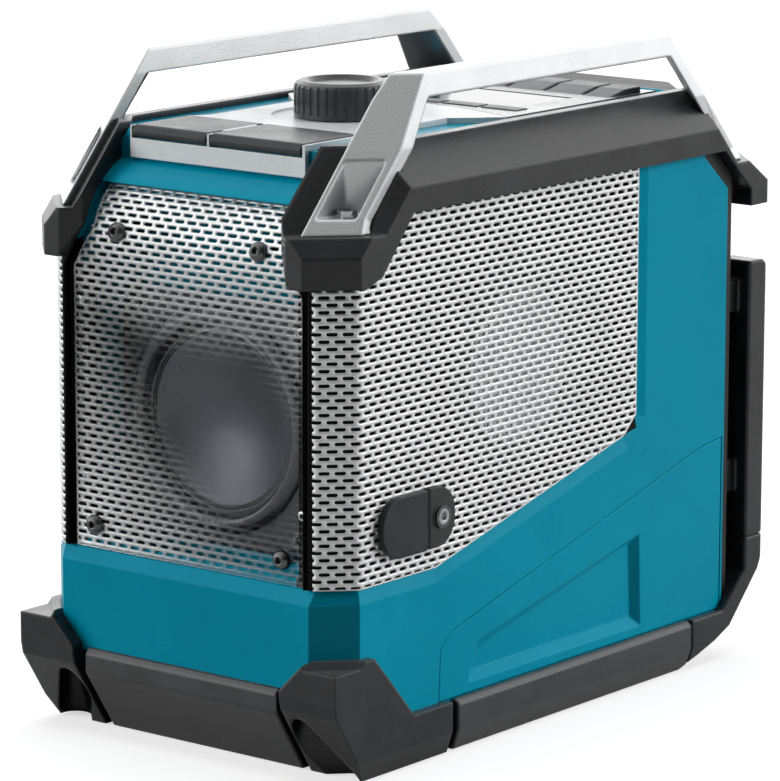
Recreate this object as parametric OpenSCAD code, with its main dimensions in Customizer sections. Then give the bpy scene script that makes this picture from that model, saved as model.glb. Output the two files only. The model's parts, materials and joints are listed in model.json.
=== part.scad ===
// Jobsite radio with two cast carrying handles, rubber bumpers and sheet-metal grilles.
// Millimetres, +Z up, origin at the bottom centre. The woofer faces -Y.

/* [Overall] */
// Width over the rubber bumpers
overall_w = 164; // [158:1:172]
// Depth over the rubber bumpers
overall_d = 294; // [288:1:304]
// Height to the top of the carrying handles
overall_h = 270.6; // [266:0.2:278]

/* [Housing] */
// How far the bumpers stand proud of the housing sides
bumper_proud = 4; // [3.5:0.5:6]
// Wall thickness of the mouldings
wall = 3; // [2.4:0.2:4]
// Width of the 45 degree cut on the front vertical corners
corner_cut = 14; // [11:1:16]
// Radius of the rounded brow above the front grille
brow_r = 38; // [35:1:40]
// Height of the handle bars above the control deck
handle_rise = 28.6; // [26:0.2:32]
// Height of the seam between base tray and housing
tray_top = 20; // [16:1:24]
// Distance from the front of the bumpers to the front grille
front_setback = 6; // [4:0.5:8]
// Distance from the back of the bumpers to the end of the housing
rear_setback = 28; // [26:0.2:30]
// Depth of the speaker recess behind the front grille
front_recess = 24.7; // [22:0.1:27]

/* [Grilles] */
// Thickness of the grille sheet
grille_t = 1.2; // [0.8:0.1:1.6]
// Height of the lower edge of the grilles
grille_z = 76; // [72:1:80]
// Distance of the front grille edge from the outer side of the bumpers
front_grille_inset = 23.3; // [22:0.1:26]
// Depth of the front grille behind the housing face
front_sink = 3; // [2:0.2:4]
// Clearance round each grille
grille_gap = 0.3; // [0.1:0.1:0.6]

/* [Bumpers and base] */
// Rise of the raked corner faces per millimetre of depth
rake = 0.909; // [0.85:0.01:1]
// Height of the bumper top edge above the deck
bumper_rise = 2.6; // [2:0.2:4]
// Width of the sloped top of the side bumpers
bumper_slope = 16; // [14:0.5:18]
// Height of the vertical side band of the top bumpers
band_h = 10; // [8:0.5:12]
// Height of the side rails
side_rail_h = 21; // [17:0.5:24]
// Height of the front rail
front_rail_h = 35.6; // [32:0.2:38]
// Height of the front base corners
corner_h = 48.8; // [46:0.2:52]
// Gap between neighbouring base bumpers
bumper_gap = 4; // [2:0.5:6]
// Width of the rear guard bars
guard_w = 16; // [14:0.5:18]

/* [Handles] */
// Width of the handle bar
bar_w = 11; // [9:0.5:13]
// Thickness of the handle bar
bar_t = 9.6; // [8:0.2:11]
// Distance of the bar from the outer side of the bumpers
bar_inset = 9.4; // [8:0.2:11]
// Depth of the cast leg, measured level
leg_t = 8.5; // [7:0.5:10]
// Amount by which the leg stands off the bumper, measured level
leg_proud = 5.2; // [4:0.2:6.4]
// Depth below the deck at which the legs end
foot_drop = 28.6; // [26:0.2:31]
// Thickness of the floor of the screw pocket
foot_floor = 6; // [4:0.5:8]

/* [Speakers] */
// Height of the woofer axis
woofer_z = 131.4; // [129:0.1:134]
// Side of the square woofer frame
woofer_w = 100.4; // [96:0.2:103]
// Radius of the woofer cutout
woofer_r = 46; // [44:0.5:47]
// Height of the side speaker axis
side_spk_z = 148; // [144:1:152]
// Distance of the side speaker axis in front of the middle
side_spk_y = -20.4; // [-24:0.2:-16]
// Radius of the side speaker frame
side_spk_r = 44.5; // [40:0.5:46]
// Running gap between a cone and its surround
cone_gap = 0.4; // [0.3:0.1:0.8]

/* [Controls] */
// Diameter of the volume knob
knob_d = 38.8; // [34:0.2:42]
// Height of the knob
knob_h = 14.5; // [12:0.5:16]
// Distance of the knob axis in front of the middle
knob_y = -42; // [-45:0.2:-39]
// Number of ribs round the knob
knob_ribs = 32; // [24:2:48]
// Pitch of the keys
key_pitch = 20; // [18:0.2:21]
// Travel of a key
key_travel = 0.8; // [0.4:0.1:1.2]
// Clearance round each key
key_gap = 0.4; // [0.3:0.1:0.6]
// Half width of the display window
window_x = 42.5; // [38:0.5:45]
// How far the edge of the silver panel stands in from the side
panel_inset = 37.2; // [35:0.2:39]

/* [Battery bay] */
// Distance of the battery door edge from the outer side of the bumpers
door_inset = 20; // [18.5:0.5:24]
// Height of the door
door_h = 128; // [120:1:134]
// Thickness of the door
door_t = 4; // [3:0.5:5]
// Height of the lower edge of the door
door_z = 42; // [38:1:46]
// Diameter of the door hinge pin
pin_d = 4; // [3:0.2:5]

/* [Hidden] */
half_w = overall_w / 2;
half_d = overall_d / 2;
deck_z = overall_h - handle_rise;
foot_z = deck_z - foot_drop;
front_grille_x = half_w - front_grille_inset;
door_x = half_w - door_inset;
panel_x = half_w - panel_inset;
body_x = half_w - bumper_proud;
front_y = -half_d + front_setback;
rear_y = half_d - rear_setback;
back_t = 4.4;
back_y = rear_y + back_t;
lip_y = front_y + 24;
brow_z = deck_z - 46.6;
brow_top_z = brow_z + sqrt(brow_r * brow_r - pow(brow_r - 24, 2));
step_y = rear_y - 23;
cap_y = step_y + 4;
rear_deck = deck_z + 2.5;
cap_t = 3.5;
roof_run = 14;
baffle_y = front_y + front_recess;
side_baffle = body_x - 6;
grille_top = brow_z + 27;
grille_cut = 1.4;
grille_slope = 6;
side_grille_x = body_x - corner_cut;
bumper_top_z = deck_z + bumper_rise;
bumper_top_x = half_w - bumper_slope;
front_top_y = front_y + 37.7;
rear_top_y = half_d - 39;
k_front = bumper_top_x - front_top_y + rake * bumper_top_z;
k_rear = bumper_top_x + rear_top_y + rake * bumper_top_z;
corner_sum = half_w - 2 + half_d - 14;
rear_sum = half_w - 1 + half_d - 3;
corner_t = (half_w - half_d) / sqrt(2);
skin = 7.2;
far = 400;
well_z = foot_z + foot_floor;
well_top = well_z + 20.6;
bar_out = half_w - bar_inset;
bar_in = bar_out - bar_w;
leg_in = bar_in - 1;
leg_out = half_w - 6.2;
tray_floor = 4;
key_row_y = rear_y - 42;
front_key_y = knob_y + 54.6;
arc_y = knob_y + 46.5;
arc_r = 141;
bezel_x = panel_x + 12;
toe = 4;
corner_toe = 14;
bay_x = 46;
bay_z0 = door_z + 8;
bay_z1 = door_z + door_h - 12;
bay_depth = 58;
door_y = back_y + 7;
flap_back = lip_y + 33;
flap_t = 2.2;
usb_x0 = 1.2 - panel_x;
usb_x1 = -5.2;
aux_x0 = -3.4;
aux_x1 = panel_x - 1.8;
flap_skirt = 4.8;
dc_y = front_y + 47.4;
dc_z = grille_z + 21.2;
hinge_x = -door_x + 4;
hinge_y = door_y + 1;
board_z = tray_top + 14;
corner_ceiling = 27;
guard_z = 50;

// ---- helpers ----

// A drawing in (y, z) pushed along x
module along_x(x0, x1) {
    translate([x0, 0, 0]) rotate([90, 0, 90]) linear_extrude(x1 - x0) children();
}

// A drawing in (x, z) pushed along y
module along_y(y0, y1) {
    translate([0, y1, 0]) rotate([90, 0, 0]) linear_extrude(y1 - y0) children();
}

// A drawing in (diagonal distance, z) pushed across a corner; turn -45 is front right
module across_corner(turn) {
    rotate([0, 0, turn]) along_y(-far, far) children();
}

module block(x0, x1, y0, y1, z0, z1) {
    translate([x0, y0, z0]) cube([x1 - x0, y1 - y0, z1 - z0]);
}

module both_sides() {
    children();
    mirror([1, 0, 0]) children();
}

module rod(x, y, z0, z1, r) {
    translate([x, y, z0]) cylinder(h = z1 - z0, r = r, $fn = 48);
}

function inv(k, z) = (k - rake * z) / sqrt(2);

module rounded(w, h, r) {
    square([w - 2 * r, h], center = true);
    square([w, h - 2 * r], center = true);
    for (sx = [-1, 1], sy = [-1, 1])
        translate([sx * (w / 2 - r), sy * (h / 2 - r)]) circle(r = r, $fn = 32);
}

// Depth position of the slanted lower front, and the height at which it meets the front face
function front_toe(z) = -half_d + 19.6 + toe - 18.6 * z / 29;
function toe_top() = (front_toe(0) - front_y) * 29 / 18.6;

// ---- housing envelope, drawn in by i ----

module side_drawing(i) {
    r = brow_r - i;
    last = acos((brow_r - 24 - i) / r);
    brow = [for (n = [0 : 24]) [front_y + brow_r - r * cos(last * n / 24), brow_z + r * sin(last * n / 24)]];
    polygon(concat([[front_toe(tray_top) + i, tray_top], [front_y + i, toe_top()]], brow,
        [[lip_y + i, deck_z - i], [step_y, deck_z - i], [cap_y - 1, rear_deck - i],
        [cap_y, rear_deck - i], [cap_y, rear_deck - cap_t - i], [rear_y, rear_deck - cap_t - i],
        [rear_y, tray_top]]));
}

module plan_drawing(i) {
    c = corner_cut - 0.586 * i;
    x = body_x - i;
    y = front_y + i;
    polygon([[-x, y + c], [-x + c, y], [x - c, y], [x, y + c], [x, rear_y], [-x, rear_y]]);
}

module roof_drawing(i) {
    x = body_x - i;
    z = rear_deck - i;
    r = roof_run + rear_deck - deck_z - 0.586 * i;
    polygon([[-x, 0], [x, 0], [x, z - r], [x - r, z], [-x + r, z], [-x, z - r]]);
}

module corner_limit(k, top) {
    polygon([[-far, 0], [inv(k, 0), 0], [inv(k, top), top], [-far, top]]);
}

// The housing as a solid, i inside its outer face
module housing_solid(i) {
    intersection() {
        along_x(-body_x + i, body_x - i) side_drawing(i);
        linear_extrude(far) plan_drawing(i);
        along_y(-far, far) roof_drawing(i);
        front_corner_cut(-45, i);
        front_corner_cut(-135, i);
        rear_corner_cut(45, i);
        rear_corner_cut(135, i);
    }
}

// Slanted toe and raked shoulder of one front corner
module front_corner_cut(turn, i) {
    s = corner_sum / sqrt(2);
    d = s - corner_toe - 1.2 * i;
    k = k_front - skin - 1.4 * i;
    across_corner(turn) polygon([[-far, 0], [d - 21.6, 0], [d, 34 + i], [s, 34 + i], [s, 150],
        [inv(k, 150), 150], [inv(k, far), far], [-far, far]]);
}

// Raked shoulder of one rear corner
module rear_corner_cut(turn, i) {
    k = k_rear - skin - 1.4 * i;
    across_corner(turn) polygon([[-far, 0], [inv(k, 0), 0], [inv(k, far), far], [-far, far]]);
}

// Outline of the side grille in (y, z), g outside its edge
module side_grille_drawing(g) {
    polygon([[front_y - 1, grille_z - g], [front_y + 61.4, grille_z - g],
        [rear_y - 72.6 + g * 0.4, grille_z + 32 - g], [rear_y - 64.1 + g, grille_z + 40 - g * 0.4],
        [rear_y - 64.1 + g, deck_z - 18 + g * 0.5], [front_y + 46, deck_z - 18 + g * 0.5],
        [front_y + 30, deck_z - 30.4 + g * 0.5], [front_y - 1, deck_z - 43]]);
}

// Outline of the lower side cover, drawn in by g
module cover_drawing(g) {
    polygon([[front_y + 63 + g, tray_top + 0.6 + g], [front_y + 64.2 + g, tray_top + 22],
        [front_y + 72 + g, tray_top + 28.6 - g], [rear_y - 18.2, tray_top + 74 - g],
        [rear_y - 1.4 - g, tray_top + 76 - g], [rear_y - 1.4 - g, tray_top + 0.6 + g]]);
}

// Outline of the shallow panel pressed into the cover
module cover_panel_drawing(g) {
    polygon([[front_y + 82.4 + g, tray_top + 5 + g], [front_y + 88.8 + g, tray_top + 21.2 - g],
        [rear_y - 61.2 - g, tray_top + 44.7 - g], [rear_y - 59.6 - g, tray_top + 5 + g]]);
}

module rear_wedge(g) {
    both_sides() along_x(body_x - 6 - g, body_x + 1) polygon([
        [rear_y - 17.2 - g, deck_z - 24.6], [rear_y + 1, deck_z - 40.3 - g],
        [rear_y + 1, far], [rear_y - 17.2 - g, far]]);
}

module foot_blocks(clear) {
    both_sides() {
        foot_block(1, k_front, clear);
        foot_block(-1, k_rear, clear);
    }
}

module main_housing() {
    color("#007f8c") difference() {
        union() {
            difference() {
                housing_solid(0);
                housing_solid(wall);
            }
            baffles();
            front_seat();
            both_sides() foot_post();
        }
        front_openings();
        grille_border();
        both_sides() side_openings();
        deck_openings();
        rear_wedge(0);
        foot_blocks(0.2);
        both_sides() {
            rod(foot_screw_x(), foot_screw_y(), foot_z - 14, foot_z + 1, 1.8);
            rotate([0, 0, -45]) rod(corner_sum / sqrt(2) - 10.5, corner_t, 30, 40, 1.9);
        }
    }
}

// Speaker baffles inside the housing
module baffles() {
    intersection() {
        housing_solid(wall - 0.5);
        union() {
            difference() {
                block(-body_x, body_x, baffle_y, baffle_y + wall, tray_top, brow_z + 29);
                translate([0, baffle_y - 1, woofer_z]) rotate([-90, 0, 0]) {
                    cylinder(h = wall + 2, r = woofer_r, $fn = 96);
                    for (sx = [-1, 1], sz = [-1, 1]) translate([sx * (woofer_w / 2 - 8), sz * (woofer_w / 2 - 8), 0])
                        cylinder(h = wall + 2, r = 1.45, $fn = 24);
                }
            }
            both_sides() difference() {
                block(side_baffle - wall, side_baffle, front_y + corner_cut + 2, rear_y - 56, grille_z - 6, deck_z - 12);
                translate([side_baffle - wall - 1, side_spk_y, side_spk_z]) rotate([0, 90, 0]) {
                    cylinder(h = wall + 2, r = side_spk_r - 5, $fn = 96);
                    for (a = [45 : 90 : 315]) rotate([0, 0, a]) translate([side_spk_r - 2.5, 0, 0])
                        cylinder(h = wall + 2, r = 1.25, $fn = 24);
                }
                translate([side_baffle - wall - 1, dc_y, dc_z]) rotate([0, 90, 0]) {
                    translate([0, -5.2, 0]) cylinder(h = wall + 2, r = 5.3, $fn = 48);
                    translate([0, 14.2, 0]) cylinder(h = wall + 2, r = 2, $fn = 24);
                }
            }
        }
    }
}

function foot_screw_x() = leg_in + 6.2;
function foot_screw_y() = foot_screw_x() - (k_front + leg_proud - rake * well_z) + 9.6;

// Corner post under the front foot of a handle
module foot_post() {
    intersection() {
        housing_solid(0.4);
        rod(foot_screw_x(), foot_screw_y(), foot_z - 26, foot_z + 2, 6);
    }
}

// Outline of the front grille in (x, z), g outside its edge and wide more at its sides
module front_grille_drawing(g, wide = 0) {
    x = front_grille_x + g + wide;
    n = panel_x + 4.6 + g + wide;
    polygon([[-x, grille_z - g], [x, grille_z - g], [x, brow_z - 6], [n, brow_z + 10],
        [n, grille_top + g], [-n, grille_top + g], [-n, brow_z + 10], [-x, brow_z - 6]]);
}

// Frame behind the front grille, on which its edge rests
module front_seat() {
    intersection() {
        along_y(front_y - 1, front_y + 20) difference() {
            front_grille_drawing(3, 1.6);
            front_grille_drawing(-3);
        }
        difference() {
            housing_solid(0.5);
            housing_solid(front_sink + grille_t + 3);
        }
    }
}

module front_openings() {
    difference() {
        along_y(front_y - 1, front_y + 18) front_grille_drawing(grille_gap, 2.2);
        housing_solid(front_sink + grille_t);
    }
    along_y(front_y - 1, baffle_y) front_grille_drawing(-3);
}

// Sloped border under the front and corner grilles
module grille_border() {
    z = grille_z - grille_slope;
    d = (side_grille_x - front_y) / sqrt(2);
    along_x(-far, far)
        polygon([[front_y - 1, z], [front_y, z], [front_y + front_sink, grille_z], [front_y - 1, grille_z]]);
    for (turn = [-45, -135]) across_corner(turn)
        polygon([[d + 2, z], [d, z], [d - grille_cut, grille_z], [d + 2, grille_z]]);
}

module side_openings() {
    intersection() {
        block(side_grille_x - 2.7, far, -far, far, 0, far);
        along_x(0, far) side_grille_drawing(grille_gap);
        difference() {
            housing_solid(-1);
            housing_solid(grille_cut);
        }
    }
    hull() {
        along_x(body_x, body_x + 1) side_grille_drawing(grille_slope);
        along_x(body_x - grille_cut, body_x - grille_cut + 0.1) side_grille_drawing(0.2);
    }
    intersection() {
        along_x(side_baffle, far) side_grille_drawing(-4);
        block(0, far, front_y + corner_cut + 3, far, 0, far);
    }
    along_x(body_x - 1.8, far) cover_drawing(0);
    along_x(body_x - wall - 4, far) cover_drawing(6);
}

module deck_openings() {
    linear_extrude(far) deck_hole_drawing();
}

// Plan of the silver panel
module panel_drawing() {
    w = panel_x - 5;
    polygon([[-panel_x, lip_y - 3], [-panel_x, flap_back], [-w, flap_back + 6], [-w, arc_y - 29],
        [-bezel_x, arc_y - 12], [-bezel_x, arc_y + 4], [bezel_x, arc_y + 4], [bezel_x, arc_y - 12],
        [w, arc_y - 29], [w, flap_back + 6], [panel_x, flap_back], [panel_x, lip_y - 3]]);
}

// Opening in the deck under panel and bezel
module deck_hole_drawing() {
    w = panel_x - 8;
    polygon([[-w, lip_y + 5], [w, lip_y + 5], [w, arc_y - 22], [w + 14, arc_y - 8], [w + 14, step_y - 6],
        [-w - 14, step_y - 6], [-w - 14, arc_y - 8], [-w, arc_y - 22]]);
}

// ---- covers and rear ----

module side_cover() {
    difference() {
        union() {
            along_x(body_x - 1.8, body_x) cover_drawing(0.3);
            along_x(body_x - wall - 2, body_x) cover_drawing(6.4);
        }
        hull() {
            along_x(body_x, body_x + 1) cover_panel_drawing(0);
            along_x(body_x - 3, body_x - 2.9) cover_panel_drawing(4);
        }
    }
}

module side_cover_right() {
    color("#008492") side_cover();
}

module side_cover_left() {
    color("#008492") mirror([1, 0, 0]) side_cover();
}

module rear_housing() {
    z_top = rear_deck;
    color("#2b2c2e") difference() {
        union() {
            intersection() {
                union() {
                    block(-body_x + 1, body_x - 1, rear_y, back_y, tray_top, z_top);
                    block(-far, far, cap_y + 0.1, back_y, z_top - cap_t, z_top);
                    block(-door_x - 3.4, door_x + 3.4, back_y, door_y, door_z - 3.4, door_z + door_h + 5);
                }
                along_y(-far, far) roof_drawing(0.3);
                rear_corner_cut(45, 0.2);
                rear_corner_cut(135, 0.2);
            }
            rear_wedge_filler();
            both_sides() rear_lug();
            bay_shell();
            hinge_ears();
        }
        block(-bay_x, bay_x, rear_y - bay_depth, far, bay_z0, bay_z1);
        block(-door_x - 0.5, door_x + 0.5, back_y + 2.6, far, door_z - 0.5, door_z + door_h + 0.5);
        foot_blocks(0.2);
        translate([hinge_x, hinge_y, 0]) cylinder(h = far, r = pin_d / 2 + 0.3, $fn = 32);
        both_sides() {
            rod(foot_screw_x(), rear_screw_y(), foot_z - 14, foot_z + 1, 1.8);
            block(bumper_top_x - 5.6, far, cap_y, rear_y - 1, rear_deck - cap_t - 1, far);
        }
        block(-7.4, 7.4, back_y, far, door_z + door_h, door_z + door_h + 3.1);
    }
}

module rear_wedge_filler() {
    intersection() {
        both_sides() along_x(body_x - 5.8, body_x - 1) polygon([
            [rear_y - 17, deck_z - 24.4], [rear_y + 0.1, deck_z - 39.2],
            [rear_y + 0.1, deck_z - 14], [rear_y - 17, deck_z - 14]]);
        along_y(-far, far) roof_drawing(1);
        rear_corner_cut(45, 0.6);
        rear_corner_cut(135, 0.6);
    }
}

function rear_screw_y() = -foot_screw_x() + (k_rear + leg_proud - rake * well_z) - 9.6;

// Lug that carries the rear foot of a handle
module rear_lug() {
    block(leg_in, leg_out - 2, back_y - 1, rear_screw_y() + 5, foot_z - 16, foot_z);
}

// Box that takes the battery pack
module bay_shell() {
    block(-bay_x - wall, bay_x + wall, rear_y - bay_depth - wall, rear_y + 1, bay_z0 - wall, bay_z1 + wall);
}

module hinge_ears() {
    for (z = [door_z - 3.4, door_z + door_h + 0.9])
        translate([hinge_x, hinge_y, z]) cylinder(h = 2.5, r = pin_d / 2 + 2.2, $fn = 48);
}

module battery_door() {
    knuckle_r = pin_d / 2 + 2.2;
    color("#26282a") difference() {
        union() {
            block(hinge_x, door_x, back_y + 3, back_y + 3 + door_t, door_z + 0.3, door_z + door_h - 0.3);
            translate([hinge_x, hinge_y, door_z + 0.3])
                cylinder(h = door_h - 0.6, r = knuckle_r, $fn = 48);
            for (i = [0 : 4])
                block(-36, 40, back_y + 3 + door_t - 0.5, back_y + 3 + door_t + 2.2,
                    door_z + 24 + i * 20, door_z + 30 + i * 20);
        }
        translate([hinge_x, hinge_y, 0]) cylinder(h = far, r = pin_d / 2 + 0.3, $fn = 32);
        block(-9.4, 9.4, -far, far, door_z + door_h - 16.6, far);
    }
}

module door_hinge_pin() {
    color("silver") translate([hinge_x, hinge_y, door_z - 3.3])
        cylinder(h = door_h + 6.6, r = pin_d / 2, $fn = 32);
}

// Spring catch that slides in the top of the door
module door_latch() {
    z0 = door_z + door_h - 14;
    color("#3a3d40") {
        block(-9, 9, back_y + 3.2, back_y + 3 + door_t, z0, z0 + 12.6);
        block(-7, 7, back_y + 3.4, back_y + 5.6, z0 + 12.6, door_z + door_h + 1.6);
        block(-6, 6, back_y + 3 + door_t, back_y + 6 + door_t, z0 + 2, z0 + 7);
    }
}

module battery_terminals() {
    y = rear_y - bay_depth;
    zc = (bay_z0 + bay_z1) / 2;
    color("#c9a24a") {
        for (x = [-15, 15]) block(x - 0.4, x + 0.4, y, y + 14, zc - 5, zc + 5);
        block(-24, 24, y, y + 3, zc - 12, zc + 12);
    }
}

// ---- base ----

// Outside of the base bumpers
module base_envelope() {
    bevel = 9;
    s = corner_sum / sqrt(2);
    intersection() {
        along_y(-half_d, half_d) polygon([[-half_w, bevel], [-half_w + 3, 0], [half_w - 3, 0],
            [half_w, bevel], [half_w, far], [-half_w, far]]);
        along_x(-half_w, half_w) polygon([[-half_d + 19.6, 0], [-half_d + 1, 29], [-half_d, 34],
            [-half_d, far], [half_d, far], [half_d, corner_h - 2], [half_d - 6, 34.6],
            [half_d - 26.7, 13.2], [half_d - 47.5, 4.5], [half_d - 60, 0]]);
        for (turn = [-45, -135]) across_corner(turn) polygon([[-far, 0], [s - 21.6, 0], [s, 34],
            [s, far], [-far, far]]);
        across_corner(45) polygon([[-far, 0], [rear_sum / sqrt(2), 0], [rear_sum / sqrt(2), far], [-far, far]]);
        across_corner(135) polygon([[-far, 0], [rear_sum / sqrt(2), 0], [rear_sum / sqrt(2), far], [-far, far]]);
    }
}

// The tray, drawn in by i
module tray_solid(i) {
    intersection() {
        linear_extrude(tray_top) plan_drawing(i);
        along_x(-far, far) polygon([[front_toe(tray_floor) + i, tray_floor + i],
            [front_toe(tray_top) + i * 1.2, tray_top], [front_toe(tray_top) + i * 1.2, far],
            [rear_y - i, far], [rear_y - i, tray_top], [rear_y - 3.6 - i, tray_floor + 12.6],
            [half_d - 47.5 - i, tray_floor + 4.6 + i], [half_d - 60 - i, tray_floor + i]]);
        front_corner_cut(-45, i);
        front_corner_cut(-135, i);
    }
}

// Space taken by the tray and the housing inside the base bumpers
module base_core() {
    tray_solid(0);
    intersection() {
        housing_solid(0);
        block(-far, far, -far, far, 0, 70);
    }
    block(-body_x + 1, body_x - 1, rear_y - 1, back_y, tray_top, 70);
}

module base_tray() {
    color("#202224") {
        difference() {
            tray_solid(0);
            tray_solid(wall);
        }
        for (sx = [-1, 1], sy = [-1, 1])
            rod(sx * 40, sy * 50, tray_floor + wall - 0.1, board_z, 3.5);
    }
}

module base_shell() {
    difference() {
        base_envelope();
        base_core();
    }
}

module front_rail() {
    color("#35363a") intersection() {
        base_shell();
        block(-front_end() + bumper_gap, front_end() - bumper_gap, -half_d, front_y + 30, 0, front_rail_h);
        along_x(-far, far) polygon([[-half_d + 3, 0], [-half_d + 3, front_rail_h - 2],
            [-half_d + 5, front_rail_h], [0, front_rail_h], [0, 0]]);
    }
}

function front_end() = half_w - 28;
function side_start() = -half_d + 73.4;
function side_end() = half_d - 55.4;

module side_rail() {
    intersection() {
        base_shell();
        block(body_x - 16, far, side_start() + bumper_gap, side_end(), 0, side_rail_h);
        along_y(-far, far) polygon([[0, 0], [far, 0], [far, side_rail_h - 3.6], [half_w, side_rail_h - 2],
            [half_w - 2, side_rail_h], [0, side_rail_h]]);
    }
}

module side_rail_right() {
    color("#3c3e41") side_rail();
}

module side_rail_left() {
    color("#3c3e41") mirror([1, 0, 0]) side_rail();
}

module base_corner_front() {
    difference() {
        intersection() {
            base_shell();
            block(front_end() - 0.1, far, -half_d, side_start(), 0, corner_h);
            along_x(0, far) polygon([[-half_d, 0], [side_start(), 0], [side_start(), side_rail_h],
                [-half_d + 49, side_rail_h], [-half_d + 24, corner_h], [-half_d, corner_h]]);
            along_y(-half_d, far) polygon([[front_end() - 1, 0], [far, 0], [far, corner_h],
                [front_end() + 12, corner_h], [front_end() - 1, front_rail_h]]);
            across_corner(-45) polygon([[-far, 0], [far, 0], [far, corner_h - 2.4],
                [corner_sum / sqrt(2), corner_h - 2.4], [corner_sum / sqrt(2) - 2, corner_h], [-far, corner_h]]);
        }
        corner_socket(corner_sum / sqrt(2));
    }
}

// Obround recess, open below, with a screw hole in its ceiling
module corner_socket(s) {
    rotate([0, 0, -45]) translate([s - 10.5, corner_t, 0]) {
        block(-6.5, 6.5, -8, 8, -1, corner_ceiling);
        for (t = [-8, 8]) translate([0, t, -1]) cylinder(h = corner_ceiling + 1, r = 6.5, $fn = 48);
        cylinder(h = corner_h, r = 1.9, $fn = 24);
    }
}

module base_corner_front_right() {
    color("#2a2b2d") base_corner_front();
}

module base_corner_front_left() {
    color("#2a2b2d") mirror([1, 0, 0]) base_corner_front();
}

module base_corner_rear() {
    difference() {
        intersection() {
            base_shell();
            block(half_w - guard_w - 3.4, far, side_end() + 0.6, far, 0, guard_z);
            along_x(0, far) polygon([[side_end(), 0], [side_end(), side_rail_h], [half_d - 32, side_rail_h],
                [half_d - guard_w, 36], [half_d - guard_w, guard_z], [half_d, guard_z], [half_d, 0]]);
        }
        translate([half_w - 12, half_d - 38, 4]) rotate([0, 0, 0]) cylinder(h = 10, r = 4.6, $fn = 32);
    }
}

module base_corner_rear_right() {
    color("#2a2b2d") base_corner_rear();
}

module base_corner_rear_left() {
    color("#2a2b2d") mirror([1, 0, 0]) base_corner_rear();
}

module rear_guard() {
    z1 = deck_z - 70;
    difference() {
        intersection() {
            block(half_w - guard_w, half_w, half_d - guard_w, half_d, guard_z + 0.3, z1);
            across_corner(45) polygon([[-far, 0], [rear_sum / sqrt(2), 0], [rear_sum / sqrt(2), far], [-far, far]]);
            along_x(0, far) polygon([[0, 0], [half_d, 0], [half_d, z1 - 7], [half_d - 6, z1 - 2], [0, z1]]);
        }
        translate([half_w - guard_w - 1, half_d + 6, z1 - 16]) rotate([0, 90, 0])
            cylinder(h = guard_w + 2, r = 9, $fn = 48);
    }
    block(half_w - guard_w, half_w - 6, back_y, half_d - guard_w, guard_z + 20, guard_z + 34);
    block(half_w - guard_w, half_w - 6, back_y, half_d - guard_w, z1 - 24, z1 - 10);
}

module rear_guard_right() {
    color("#2a2b2d") rear_guard();
}

module rear_guard_left() {
    color("#2a2b2d") mirror([1, 0, 0]) rear_guard();
}

// ---- top bumpers and handles ----

module bumper_envelope() {
    ledge = 8.7;
    s = corner_sum / sqrt(2);
    sr = rear_sum / sqrt(2);
    base_z = foot_z - 19.4;
    intersection() {
        along_y(-half_d, half_d) polygon([[30, 0], [half_w, 0], [half_w, bumper_top_z - bumper_slope + 1],
            [bumper_top_x, bumper_top_z], [30, bumper_top_z]]);
        across_corner(-45) polygon([[-far, base_z], [s, base_z], [s, foot_z - 7.4],
            [inv(k_front + ledge, foot_z), foot_z], [inv(k_front, foot_z), foot_z],
            [inv(k_front, far), far], [-far, far]]);
        across_corner(45) polygon([[-far, 0], [sr, 0], [sr, foot_z - 9.5],
            [inv(k_rear + ledge, foot_z), foot_z], [inv(k_rear, foot_z), foot_z],
            [inv(k_rear, far), far], [-far, far]]);
    }
}

// Outline of a top bumper in (y, z)
module bumper_side_drawing() {
    band = bumper_top_z - bumper_slope + 1 - band_h;
    polygon([[-half_d, foot_z - 19.4], [-half_d + 20, foot_z - 19.4], [-half_d + 29, foot_z - 16],
        [-half_d + 48, band], [half_d - 36, band], [half_d - guard_w, band - 18.5],
        [half_d - guard_w, deck_z - 66], [half_d, deck_z - 66], [half_d, far], [-half_d, far]]);
}

// Outline of a top bumper in plan
module bumper_plan_drawing() {
    x = panel_x + 6.2;
    polygon([[bumper_top_x - 5.4, half_d], [bumper_top_x - 5.4, front_y + 41],
        [x + 0.4, front_y + 29.2], [x, front_y], [x + 7, -half_d], [far, -half_d], [far, half_d]]);
}

module top_bumper() {
    difference() {
        intersection() {
            bumper_envelope();
            along_x(0, far) bumper_side_drawing();
            linear_extrude(far) bumper_plan_drawing();
        }
        housing_solid(0);
        intersection() {
            block(-body_x + 1, body_x - 1, rear_y - 1, back_y, 0, rear_deck);
            along_y(-far, far) roof_drawing(0.3);
            rear_corner_cut(45, 0.2);
        }
        along_y(-far, front_y + 20) polygon([[0, foot_z - 21], [panel_x + 15, foot_z - 21],
            [panel_x + 14.6, foot_z - 20], [panel_x + 6.2, foot_z - 6.4], [0, foot_z - 6.4]]);
        handle_solid(0.1);
        rear_lug();
        rod(foot_screw_x(), foot_screw_y(), foot_z - 14, far, 1.8);
    }
}

module top_bumper_right() {
    color("#2c2d30") top_bumper();
}

module top_bumper_left() {
    color("#2c2d30") mirror([1, 0, 0]) top_bumper();
}

// Solid foot of a handle; f is 1 at the front and -1 at the rear
module foot_block(f, k, clear) {
    intersection() {
        block(leg_in - clear, leg_out + clear, -far, far, foot_z - clear, foot_z + 30);
        across_corner(-45 * f) polygon([
            [inv(k + leg_proud, well_top) - 2.7 - clear, foot_z - clear],
            [inv(k + leg_proud, foot_z) + clear, foot_z - clear],
            [inv(k + leg_proud, foot_z + 30) + clear, foot_z + 30],
            [inv(k + leg_proud, well_top) - 2.7 - clear, foot_z + 30]]);
    }
}

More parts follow.
